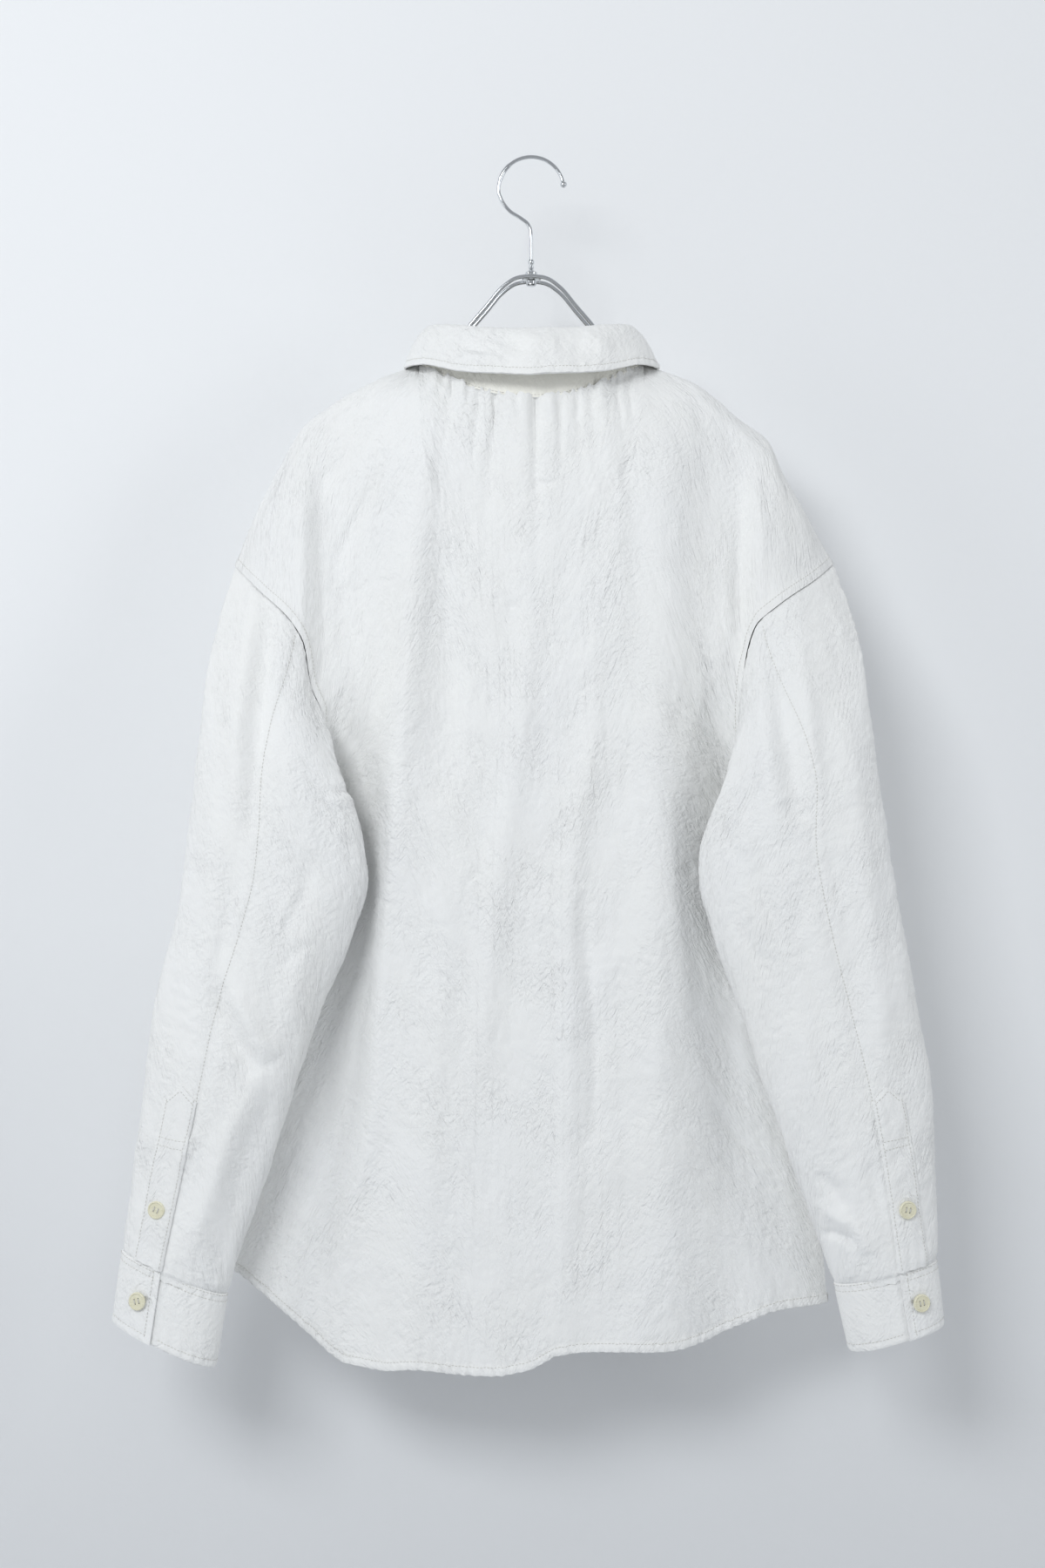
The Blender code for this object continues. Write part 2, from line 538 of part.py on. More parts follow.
def collar_stand(cotton):
    """The stand: a band round the neck whose ends lap at the front, the wearer's left outside."""
    lap = math.degrees(math.asin(FRONT_LAP / NECK_HALF))
    turns = np.concatenate([[-180 - lap], np.linspace(-180, 180, 4 * NECK_COLUMNS + 1), [180 + lap]])
    low = np.array([neck_point(t) for t in turns])
    high = np.array([fold_point(t) for t in turns])
    high[:, 2] -= WALL + 7 * SEAM_GAP
    outward = -neck_seam(low)
    under = np.where(turns > 0, ease(turns, 150, 172), 0)[:, None]
    shift = -outward * under * (FIRM_WALL + LAY_GAP)
    rows = np.linspace(0, 1, 4)[:, None, None]
    bulge = 0.0008 * np.sin(math.pi * rows) * outward
    grid = low + shift + (high - low) * rows + bulge
    grid[0, :, 2] += SEAM_GAP
    cloth_piece("collar_stand", [grid, grid - outward * FIRM_WALL], cotton)


def collar_fall(cotton):
    """The fall: it turns down over the stand, and ends in two points at the front."""
    turns = np.concatenate([-np.array(FALL_TURNS[:0:-1]), FALL_TURNS]).astype(float)
    size = np.abs(turns)
    edge_x, edge_y, edge_drop = np.moveaxis(FALL_EDGE(size), -1, 0)
    edge = np.column_stack([np.sign(turns) * edge_x, edge_y, -edge_drop])
    fold_turns = np.sign(turns) * FALL_FOLD(size)
    fold = np.array([fold_point(t) for t in fold_turns])
    outward = -neck_seam(fold)
    drop = edge - fold
    shares = np.array([0, 0.06, 0.2, 0.45, 0.72, 1])[:, None, None]
    roll = (0.0055 * np.sin(math.pi * np.minimum(shares, 1) ** 0.6)) * outward
    lift = 0.0035 * np.sin(math.pi * shares ** 0.6) * np.array([0, 0, 1.0])
    grid = fold - outward * 0.0008 + drop * shares + roll + lift
    grid[0] = fold - outward * 0.0008
    faces = wall(grid, 1)
    faces[1][0] = grid[0] + DOWN * WALL
    cloth_piece("collar_fall", faces, cotton)


# ---------------------------------------------------------------- cuffs and plackets


def cuff_point(side, turn, share, lift=0.0):
    """A point of the cuff's outer face: share runs from its top edge to its bottom one."""
    a = math.radians(turn)
    top, bottom = (np.array(edge) for edge in CUFF_EDGES[side])
    inner, inner_drop, outer, outer_drop = top + (bottom - top) * share
    half = CUFF_DEPTH[0] + (CUFF_DEPTH[1] - CUFF_DEPTH[0]) * share
    out = (inner + outer) / 2 - ((outer - inner) / 2 + lift) * math.cos(a)
    drop = (inner_drop + outer_drop) / 2 + (inner_drop - outer_drop) / 2 * math.cos(a)
    y = SLEEVE_DEPTH(0.88)[0] - (half + lift) * math.sin(a)
    return np.array([side * out, y, -drop])


def cuff(side, name, cotton):
    """An open band that laps under itself at the slit."""
    slit = SLEEVE_TURN[BACK_SEAM]
    turns = slit + np.concatenate([np.linspace(0, 360, 25), [360 + CUFF_LAP_TURN]])
    tuck = -(FIRM_WALL + LAY_GAP) * ease(turns - slit, 300, 352)
    shares = np.linspace(0, 1, 3)
    outer = np.array([[cuff_point(side, t, k, lift) for t, lift in zip(turns, tuck)]
                      for k in shares])
    inner = np.array([[cuff_point(side, t, k, lift - FIRM_WALL) for t, lift in zip(turns, tuck)]
                      for k in shares])
    for face in (outer, inner):
        face[0, :, 2] -= 2 * SEAM_GAP
    cloth_piece(f"cuff_{name}", [outer, inner], cotton)


def placket_turn(side, drop):
    """How far round the sleeve the placket reaches from the slit, at its sewn width."""
    inner, outer = np.moveaxis(SLEEVE_EDGES[side](drop), -1, 0)
    half = SLEEVE_DEPTH(drop)[..., 1]
    a = math.radians(SLEEVE_TURN[BACK_SEAM] + 14)
    arc = np.hypot((outer - inner) / 2 * math.sin(a), half * math.cos(a))
    return np.degrees(PLACKET_WIDTH / arc)


def sleeve_placket(side, name, cotton):
    """The bound edge of the slit: sleeve points moved out, under a pointed top."""
    slit = SLEEVE_TURN[BACK_SEAM]
    shares = np.array([0, 0.5, 1])
    low = sleeve_end_drop(side, slit + 14) - 4 * SEAM_GAP
    drops = np.concatenate([[PLACKET_TOP], np.linspace(PLACKET_TOP, low, 7)[1:]])
    grid = np.zeros((len(drops), 3, 3))
    for r, drop in enumerate(drops):
        turns = slit + 1 + shares * placket_turn(side, drop)
        end = sleeve_end_drop(side, turns) - 4 * SEAM_GAP
        reached = np.minimum(drop, end) if r < len(drops) - 1 else end
        if r == 0:
            reached = drop - np.array([0, PLACKET_POINT, 0])
        grid[r] = sleeve_section(side, turns, reached)
    normals = unit(side * np.cross(np.gradient(grid, axis=1), np.gradient(grid, axis=0)))
    inner = grid - normals * 1.6 * LAY_GAP
    outer = inner - normals * WALL
    cloth_piece(f"sleeve_placket_{name}", [outer, inner], cotton)


def front_band(cotton):
    """The button band on the wearer's left front: front points moved out."""
    grid = front_grid(LEFT)[:, -3:]
    rows, across = grid.shape[0], np.array([-FRONT_LAP, 0, FRONT_LAP])
    strip = np.zeros((rows, 3, 3))
    for r in range(rows):
        strip[r, :, 0] = across
        order = np.argsort(grid[r, :, 0])
        for axis in (1, 2):
            strip[r, :, axis] = np.interp(across, grid[r, order, 0], grid[r, order, axis])
    strip[0, :, 2] -= 4 * SEAM_GAP
    forward = np.array([0, 1.0, 0])
    inner = strip + forward * LAY_GAP
    cloth_piece("front_band", [inner + forward * WALL, inner], cotton)
    return inner + forward * WALL


# ---------------------------------------------------------------- buttons


def button(name, centre, facing, radius, horn):
    """A turned button with a raised rim, its flat underside at centre, facing outwards."""
    outline = ((0, 0), (radius - 0.0006, 0), (radius, 0.0006), (radius, BUTTON_THICK - 0.0006),
               (radius - 0.0007, BUTTON_THICK), (radius - 0.0016, BUTTON_THICK - 0.0003),
               (radius - 0.0022, BUTTON_THICK - 0.0008), (0, BUTTON_THICK - 0.0008))
    mesh = bmesh.new()
    verts = [mesh.verts.new((r, 0, z)) for r, z in outline]
    edges = [mesh.edges.new(pair) for pair in zip(verts, verts[1:])]
    bmesh.ops.spin(mesh, geom=verts + edges, cent=(0, 0, 0), axis=(0, 0, 1),
                   angle=math.tau, steps=16, use_merge=True)
    bmesh.ops.remove_doubles(mesh, verts=mesh.verts, dist=1e-6)
    piece = finished(name, mesh, horn, smooth_angle=35)
    piece.location = centre
    piece.rotation_euler = Vector(facing).to_track_quat("Z", "Y").to_euler()


def sleeve_buttons(side, name, horn):
    slit = SLEEVE_TURN[BACK_SEAM]
    turn = slit + 1 + placket_turn(side, PLACKET_BUTTON_DROP) * 0.5
    at = sleeve_section(side, turn, PLACKET_BUTTON_DROP)
    step = 0.5
    across = sleeve_section(side, turn + step, PLACKET_BUTTON_DROP) - at
    down = sleeve_section(side, turn, PLACKET_BUTTON_DROP + 0.005) - at
    facing = -side * np.cross(across, down)
    facing /= np.linalg.norm(facing)
    seat = at + facing * (WALL + 3 * LAY_GAP)
    button(f"button_placket_{name}", seat, facing, CUFF_BUTTON, horn)
    turn = slit + CUFF_BUTTON_TURN
    at = cuff_point(side, turn, CUFF_BUTTON_SHARE)
    across = cuff_point(side, turn + step, CUFF_BUTTON_SHARE) - at
    down = cuff_point(side, turn, CUFF_BUTTON_SHARE + 0.05) - at
    facing = -side * np.cross(across, down)
    facing /= np.linalg.norm(facing)
    button(f"button_cuff_{name}", at + facing * 3 * LAY_GAP, facing, CUFF_BUTTON, horn)


def front_buttons(band, horn):
    """Buttons down the band, evenly apart."""
    middle = band[:, 1]
    for number in range(FRONT_BUTTON_COUNT):
        drop = FRONT_BUTTON_DROP + number * FRONT_BUTTON_PITCH
        y = np.interp(drop, -middle[:, 2], middle[:, 1])
        button(f"button_front_{number + 1}", (0, y + 2 * LAY_GAP, -drop), (0, 1, 0),
               FRONT_BUTTON, horn)


# ---------------------------------------------------------------- hanger


def ring_of(mesh, point, radius, ahead, normal, sides):
    """A circle of vertices about point, square to ahead."""
    binormal = np.cross(ahead, normal)
    spokes = [math.cos(a) * normal + math.sin(a) * binormal
              for a in np.arange(sides) * math.tau / sides]
    return [mesh.verts.new(point + radius * spoke) for spoke in spokes]


def skinned(mesh, rings):
    """Joins each circle of vertices to the next."""
    for first, second in zip(rings, rings[1:]):
        for k in range(len(first)):
            n = (k + 1) % len(first)
            mesh.faces.new((first[k], first[n], second[n], second[k]))


def bar(name, points, radii, material, sides=10):
    """A round bar along points, whose radius follows radii, with closed ends."""
    mesh = bmesh.new()
    tangent = unit(np.gradient(points, axis=0))
    normal = unit(np.cross(tangent[0], (0.3, 1, 0.2)))
    rings = []
    for point, radius, ahead in zip(points, radii, tangent):
        normal = unit(normal - ahead * np.dot(normal, ahead))
        rings.append(ring_of(mesh, point, radius, ahead, normal, sides))
    skinned(mesh, rings)
    mesh.faces.new(rings[0][::-1])
    mesh.faces.new(rings[-1])
    finished(name, mesh, material)


def hook(chrome):
    """The hook: a ball tip, a bend over the peg, a swan neck and a stem."""
    centre_drop = HOOK_BEND - HOOK_WIRE
    angles = np.radians(np.linspace(14, 188, 20))
    bend = [(HOOK_BEND * math.cos(a), 0, -centre_drop + HOOK_BEND * math.sin(a)) for a in angles]
    neck = along([bend[-1], *HOOK_NECK], np.linspace(0, 1, 16))
    points = np.vstack([bend, neck[1:]])
    ball = along([points[0], points[1]], (0, 0.25, 0.5, 0.7, 0.9))
    ball_radii = (0.0010, 0.0024, 0.0030, 0.0025, HOOK_WIRE)
    points = np.vstack([ball, points[1:]])
    radii = [*ball_radii, *[HOOK_WIRE] * (len(points) - len(ball))]
    bar("hanger_hook", points, radii, chrome)


def ferrule(chrome):
    """The turned boss that holds the hook over the two yoke wires."""
    mesh = bmesh.new()
    verts = [mesh.verts.new((radius, 0, -drop)) for radius, drop in FERRULE]
    edges = [mesh.edges.new(pair) for pair in zip(verts, verts[1:])]
    bmesh.ops.spin(mesh, geom=verts + edges, cent=(0, 0, 0), axis=(0, 0, 1),
                   angle=math.tau, steps=20, use_merge=True)
    bmesh.ops.remove_doubles(mesh, verts=mesh.verts, dist=1e-6)
    finished("hanger_ferrule", mesh, chrome)


def yoke(chrome):
    """One closed loop of wire: two arched shoulders side by side, joined round at both ends."""
    half = np.array([(out, gap, -drop) for out, gap, drop in YOKE])
    right = along(half, np.linspace(0, 1, 18))
    out, gap, z = right[-1]
    cap = [(out + gap * YOKE_SLOPE[0] * math.cos(a), gap * math.sin(a),
            z - gap * YOKE_SLOPE[1] * math.cos(a)) for a in np.radians((72, 54, 36, 18, 0))]
    quarter = np.vstack([right, cap])
    right_half = np.vstack([quarter, quarter[-2::-1] * (1, -1, 1)])
    loop = np.vstack([right_half, (right_half[::-1] * (-1, 1, 1))[1:-1]])
    tangent = unit(np.roll(loop, -1, axis=0) - np.roll(loop, 1, axis=0))
    upright = np.array([0, 0, 1.0])
    mesh = bmesh.new()
    rings = []
    for point, ahead in zip(loop, tangent):
        normal = unit(np.cross(ahead, np.cross(upright, ahead)))
        rings.append(ring_of(mesh, point, YOKE_WIRE, ahead, normal, sides=8))
    skinned(mesh, rings + rings[:1])
    finished("hanger_yoke", mesh, chrome)


# ---------------------------------------------------------------- the whole shirt


def material(name, colour, roughness, metallic=0.0):
    made = bpy.data.materials.new(name)
    made.use_nodes = True
    shader = made.node_tree.nodes["Principled BSDF"]
    shader.inputs["Base Color"].default_value = (*colour, 1)
    shader.inputs["Roughness"].default_value = roughness
    shader.inputs["Metallic"].default_value = metallic
    made.diffuse_color = (*colour, 1)
    return made


def main():
    for piece in list(bpy.data.objects):
        bpy.data.objects.remove(piece)
    cotton = material("washed_cotton", (0.86, 0.85, 0.82), 0.9)
    horn = material("ivory_horn", (0.72, 0.66, 0.54), 0.35)
    chrome = material("chrome_wire", (0.75, 0.76, 0.78), 0.12, metallic=1.0)
    body_and_sleeves(cotton)
    collar_stand(cotton)
    collar_fall(cotton)
    front_buttons(front_band(cotton), horn)
    for side, name in ((LEFT, "left"), (RIGHT, "right")):
        cuff(side, name, cotton)
        sleeve_placket(side, name, cotton)
        sleeve_buttons(side, name, horn)
    hook(chrome)
    ferrule(chrome)
    yoke(chrome)


main()
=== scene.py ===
"""Looks of a crumpled cotton shirt on a two-wire hanger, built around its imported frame.

The shirt hangs with its back to -Y; the wearer's left is towards -X. "Out" is the distance from
the middle line and "drop" the distance below the inside of the hook's crown, both in metres.
"""

import math

import bmesh
import bpy
import numpy as np
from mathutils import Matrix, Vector


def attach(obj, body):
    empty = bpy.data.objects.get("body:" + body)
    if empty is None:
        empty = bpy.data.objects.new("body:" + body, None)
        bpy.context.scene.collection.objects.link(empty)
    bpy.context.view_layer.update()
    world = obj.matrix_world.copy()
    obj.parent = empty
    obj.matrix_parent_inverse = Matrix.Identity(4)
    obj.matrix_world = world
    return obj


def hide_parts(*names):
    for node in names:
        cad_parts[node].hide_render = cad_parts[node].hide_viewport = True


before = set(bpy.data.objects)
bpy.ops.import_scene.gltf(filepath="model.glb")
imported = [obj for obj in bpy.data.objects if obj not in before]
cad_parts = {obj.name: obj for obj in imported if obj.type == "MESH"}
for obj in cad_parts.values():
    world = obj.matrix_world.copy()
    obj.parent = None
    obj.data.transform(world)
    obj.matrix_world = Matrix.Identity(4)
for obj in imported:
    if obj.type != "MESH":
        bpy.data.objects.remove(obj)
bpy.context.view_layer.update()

bl_info = {
    "name": "Crumpled Shirt on a Hanger",
    "version": (1, 0, 0),
    "blender": (4, 5, 0),
    "location": "View3D > Sidebar > Shirt",
    "description": "Builds a washed cotton shirt, its seams and buttons, and its wire hanger",
    "category": "Object",
}

LEFT, RIGHT = -1, 1
SIDES = ((LEFT, "left"), (RIGHT, "right"))

# ---------------------------------------------------------------- the cut, as in the frame

NECK_HALF, NECK_BACK, NECK_FRONT = 0.088, 0.040, 0.045
NECK_DROP, NECK_SIDE_DROP, NECK_FRONT_DROP = 0.1935, 0.161, 0.232
FOLD_HALF, FOLD_BACK, FOLD_FRONT = 0.073, 0.030, 0.050
FOLD_DROP, FOLD_SIDE_DROP, FOLD_FRONT_DROP = 0.139, 0.131, 0.196
FRONT_LAP = 0.015
ARM_SHARE = 0.45  # of a panel's height lies above the underarm

SHOULDER = {
    LEFT: ((0.2310, 0.318), (0.2180, 0.284), (0.2040, 0.257), (0.1870, 0.2235), (0.1770, 0.2085),
           (0.1560, 0.193), (0.1290, 0.1775), (0.1060, 0.167), (NECK_HALF, NECK_SIDE_DROP)),
    RIGHT: ((0.2355, 0.3165), (0.2180, 0.284), (0.1970, 0.247), (0.1845, 0.221), (0.1630, 0.204),
            (0.1290, 0.1775), (0.1060, 0.167), (NECK_HALF, NECK_SIDE_DROP)),
}
ARMHOLE_BACK = {
    LEFT: ((0.231, 0, 0.318), (0.207, -0.032, 0.341), (0.183, -0.045, 0.364),
           (0.173, -0.046, 0.382), (0.168, -0.044, 0.413), (0.160, -0.040, 0.436),
           (0.162, -0.034, 0.465), (0.178, -0.020, 0.502), (0.198, -0.006, 0.525)),
    RIGHT: ((0.2355, 0, 0.3165), (0.2195, -0.024, 0.330), (0.188, -0.045, 0.352),
            (0.170, -0.046, 0.369), (0.163, -0.043, 0.395), (0.160, -0.040, 0.430),
            (0.163, -0.034, 0.465), (0.178, -0.020, 0.502), (0.198, -0.006, 0.525)),
}
ARMHOLE_FRONT = {
    LEFT: ((0.231, 0, 0.318), (0.217, 0.021, 0.343), (0.207, 0.027, 0.385), (0.202, 0.024, 0.440),
           (0.200, 0.012, 0.490), (0.198, -0.006, 0.525)),
    RIGHT: ((0.2355, 0, 0.3165), (0.219, 0.021, 0.343), (0.206, 0.027, 0.385),
            (0.202, 0.024, 0.440), (0.200, 0.012, 0.490), (0.198, -0.006, 0.525)),
}
SIDE_SEAM = {
    LEFT: ((0.198, -0.006, 0.525), (0.206, -0.003, 0.620), (0.222, -0.003, 0.760),
           (0.238, -0.004, 0.862)),
    RIGHT: ((0.198, -0.006, 0.525), (0.206, -0.003, 0.620), (0.219, -0.003, 0.760),
            (0.2305, -0.004, 0.8905)),
}


def profile(*stations):
    """A smooth curve through stations (s, a, b, ...) that never swings past them."""
    table = np.array(stations, float)
    s, values = table[:, 0], table[:, 1:]
    slope = np.diff(values, axis=0) / np.diff(s)[:, None]
    tangent = np.zeros_like(values)
    same = slope[:-1] * slope[1:] > 0
    total = np.where(same, slope[:-1] + slope[1:], 1)
    tangent[1:-1] = np.where(same, 2 * slope[:-1] * slope[1:] / total, 0)
    tangent[0], tangent[-1] = slope[0], slope[-1]

    def at(t):
        t = np.clip(np.asarray(t, float), s[0], s[-1])
        i = np.clip(np.searchsorted(s, t, side="right") - 1, 0, len(s) - 2)
        step = (s[i + 1] - s[i])[..., None]
        k = (t - s[i])[..., None] / step
        rise = values[i] * (1 + 2 * k) * (1 - k) ** 2 + values[i + 1] * k * k * (3 - 2 * k)
        lean = tangent[i] * k * (1 - k) ** 2 + tangent[i + 1] * k * k * (k - 1)
        found = rise + step * lean
        return found[..., 0] if values.shape[1] == 1 else found

    return at


def along(points, fractions):
    """Points at the given fractions of the length of a smooth curve through points."""
    points = np.array(points, float)
    length = np.concatenate([[0], np.cumsum(np.linalg.norm(np.diff(points, axis=0), axis=1))])
    return profile(*np.column_stack([length / length[-1], points]))(fractions)


def ease(value, start, end):
    """0 at start, 1 at end, with a smooth rise between."""
    k = np.clip((value - start) / (end - start), 0, 1)
    return k * k * (3 - 2 * k)


def unit(vectors):
    """Each vector at length 1."""
    return vectors / np.maximum(np.linalg.norm(vectors, axis=-1, keepdims=True), 1e-12)


HEM = profile((-0.238, 0.862, 0.862), (-0.200, 0.898, 0.892), (-0.160, 0.925, 0.908),
              (-0.100, 0.941, 0.918), (-0.030, 0.943, 0.920), (0.030, 0.934, 0.918),
              (0.100, 0.921, 0.910), (0.180, 0.900, 0.898), (0.2305, 0.884, 0.884))
BACK_HEM = profile((-0.238, 0.862), (-0.2300, 0.8650), (-0.1975, 0.8900), (-0.1640, 0.9190),
                   (-0.1410, 0.9340), (-0.1130, 0.9365), (-0.0905, 0.9338), (-0.0560, 0.9368),
                   (-0.0305, 0.9380), (-0.0028, 0.9340), (0.0080, 0.9290), (0.0189, 0.9232),
                   (0.0400, 0.9205), (0.0680, 0.9198), (0.1000, 0.9206), (0.1250, 0.9180),
                   (0.1540, 0.9080), (0.1960, 0.8935), (0.2280, 0.8900), (0.238, 0.889))
BACK_DEPTH = profile((0.19, 0.040, 0.021), (0.26, 0.046, 0.022), (0.45, 0.050, 0.018),
                     (0.70, 0.046, 0.015), (0.94, 0.041, 0.015))
FRONT_DEPTH = profile((0.16, 0.044, 0.021), (0.26, 0.046, 0.021), (0.45, 0.042, 0.017),
                      (0.70, 0.037, 0.014), (0.94, 0.034, 0.014))
SLEEVE_MIDDLE = -0.05
YOKE_LIP, CAP_DEPTH = 0.0180, 0.019
BACK_FOLDS, COLLAR_FOLDS = 1.3, 2.1  # how much deeper than their tables these hang
SLEEVE_EDGES = {
    LEFT: profile((0.30, 0.176, 0.226), (0.36, 0.166, 0.238), (0.43, 0.1535, 0.2485),
                  (0.46, 0.1415, 0.2515), (0.52, 0.1205, 0.2575), (0.554, 0.1215, 0.262),
                  (0.60, 0.136, 0.271), (0.653, 0.1586, 0.284), (0.712, 0.178, 0.2915),
                  (0.77, 0.1975, 0.2990), (0.873, 0.2309, 0.3140)),
    RIGHT: profile((0.30, 0.180, 0.230), (0.36, 0.168, 0.2455), (0.43, 0.1595, 0.2555),
                   (0.476, 0.1433, 0.2612), (0.537, 0.1235, 0.270), (0.56, 0.1265, 0.2735),
                   (0.60, 0.1375, 0.2800), (0.66, 0.158, 0.2915), (0.712, 0.1755, 0.3005),
                   (0.77, 0.197, 0.3045), (0.865, 0.2298, 0.3068)),
}
SLEEVE_DEPTH = profile((0.30, -0.018, 0.016), (0.40, -0.043, 0.025), (0.55, -0.052, 0.028),
                       (0.72, -0.052, 0.027), (0.80, -0.050, 0.024), (0.88, -0.050, 0.0215))
UNDERARM_DROP = 0.520
SLEEVE_TURN = (-38, -30, -16, 6, 32, 66, 101, 124, 145, 162, 171, 176, 180, 184, 189, 198, 215,
               236, 255, 272, 286, 298, 308, 316, 322)
ARM_ROWS = (0, 0.006, 0.02, 0.055, 0.13, 0.23, 0.34, 0.47, 0.62, 0.76, 0.88, 0.96, 1)
SLIT_TURN = 101
CUFF_EDGES = {
    LEFT: ((0.2309, 0.873, 0.3094, 0.840), (0.2395, 0.929, 0.3173, 0.8934)),
    RIGHT: ((0.2298, 0.865, 0.3063, 0.8472), (0.2410, 0.9165, 0.3122, 0.8966)),
}
CUFF_DEPTH = (0.0215, 0.0225)
CUFF_LAP_TURN = 34
PLACKET_WIDTH, PLACKET_POINT, PLACKET_TOP = 0.025, 0.012, 0.725
FALL_EDGE = profile((0, 0.0, -0.062, 0.1797), (35, 0.052, -0.051, 0.1753),
                    (65, 0.086, -0.030, 0.1658), (90, 0.0995, -0.002, 0.1648), (115, 0.099, 0.031, 0.181),
                    (145, 0.080, 0.062, 0.224), (169, 0.060, 0.072, 0.262))
FALL_FOLD = profile((0, 0), (90, 90), (130, 134), (169, 177))

# ---------------------------------------------------------------- creases
# Each is: height in mm (a trough is less than 0), half-width in mm, how lopsided it is, and its
# path of (x, drop) in mm.

BACK_CREASES = (
    (7.5, 12, 0.45, ((-72, 182), (-83, 283), (-91, 365), (-95, 422), (-110, 611), (-119, 737),
                     (-136, 823), (-151, 935))),
    (3.2, 12, 0.3, ((4, 300), (2, 353), (-3, 422), (-20, 548), (-30, 633), (-40, 720))),
    (3.0, 11, 0.5, ((54, 340), (50, 443), (32, 580), (31, 737), (26, 925))),
    (-2.6, 6, 0, ((37, 570), (43, 633), (48, 686), (48, 760))),
    (4.5, 20, 0, ((112, 330), (101, 554), (101, 620), (108, 760), (124, 915))),
    (-3.2, 12, 0, ((-66, 300), (-69, 338), (-63, 422), (-66, 501))),
    (-2.6, 9, 0.3, ((74, 230), (79, 283), (84, 356), (84, 445))),
    (-3.0, 8, 0, ((-128, 207), (-152, 244), (-178, 276))),
    (-1.6, 5, 0, ((-106, 200), (-118, 214), (-128, 228))),
    (-2.2, 5, 0.4, ((-103, 228), (-129, 277), (-154, 326))),
    (1.8, 9, 0, ((-92, 232), (-118, 284), (-142, 336))),
    (2.0, 9, 0, ((-118, 194), (-140, 226), (-168, 256))),
    (-4.0, 11, 0, ((146, 206), (158, 231), (172, 256))),
    (-3.0, 8, 0, ((156, 262), (160, 343), (163, 422))),
    (-0.9, 3, 0, ((-80, 592), (-60, 597))),
    (-0.9, 3, 0, ((-53, 566), (-38, 552))),
    (-0.8, 3, 0, ((-5, 702), (8, 706), (16, 718))),
    (-1.5, 2.6, 0, ((3, 257), (12, 261), (21, 257))),
    (-0.9, 2.4, 0, ((-20, 353), (-7, 354))),
    (-2.0, 14, 0, ((-122, 480), (-128, 560), (-150, 700), (-172, 820))),
    (1.8, 12, 0, ((150, 600), (168, 700), (190, 820))),
    (-1.6, 12, 0, ((70, 620), (74, 740), (86, 880))),
    (1.5, 9, 0, ((-62, 560), (-72, 700), (-84, 850), (-92, 930))),
    (1.3, 4, 0, ((150, 640), (166, 668), (186, 690))),
    (1.2, 4, 0, ((128, 700), (146, 730), (172, 752))),
    (-1.2, 4, 0, ((144, 740), (168, 772), (196, 790))),
    (1.2, 5, 0, ((118, 790), (142, 826), (168, 848))),
)
FRONT_CREASES = {
    LEFT: (
        (5.5, 14, 0.3, ((-92, 190), (-100, 300), (-110, 500), (-126, 700), (-146, 900))),
        (4.0, 13, -0.3, ((-44, 270), (-52, 420), (-60, 620), (-70, 905))),
        (-2.2, 10, 0, ((-76, 330), (-84, 520), (-94, 700))),
        (-2.6, 8, 0, ((-118, 215), (-146, 262), (-176, 320))),
        (2.0, 9, 0, ((-150, 560), (-170, 700), (-196, 850))),
        (-1.3, 4, 0, ((-40, 640), (-62, 664), (-88, 672))),
        (1.3, 5, 0, ((-110, 730), (-136, 756), (-170, 764))),
    ),
    RIGHT: (
        (5.5, 14, -0.3, ((96, 190), (104, 300), (118, 500), (128, 700), (140, 890))),
        (4.0, 13, 0.3, ((46, 280), (52, 420), (58, 620), (68, 905))),
        (-2.2, 10, 0, ((78, 350), (86, 540), (98, 720))),
        (-2.8, 9, 0, ((120, 210), (150, 260), (182, 330))),
        (2.0, 9, 0, ((152, 560), (172, 700), (192, 850))),
        (-1.3, 4, 0, ((38, 700), (60, 716), (84, 738))),
        (1.4, 5, 0, ((104, 600), (128, 636), (160, 652))),
    ),
}
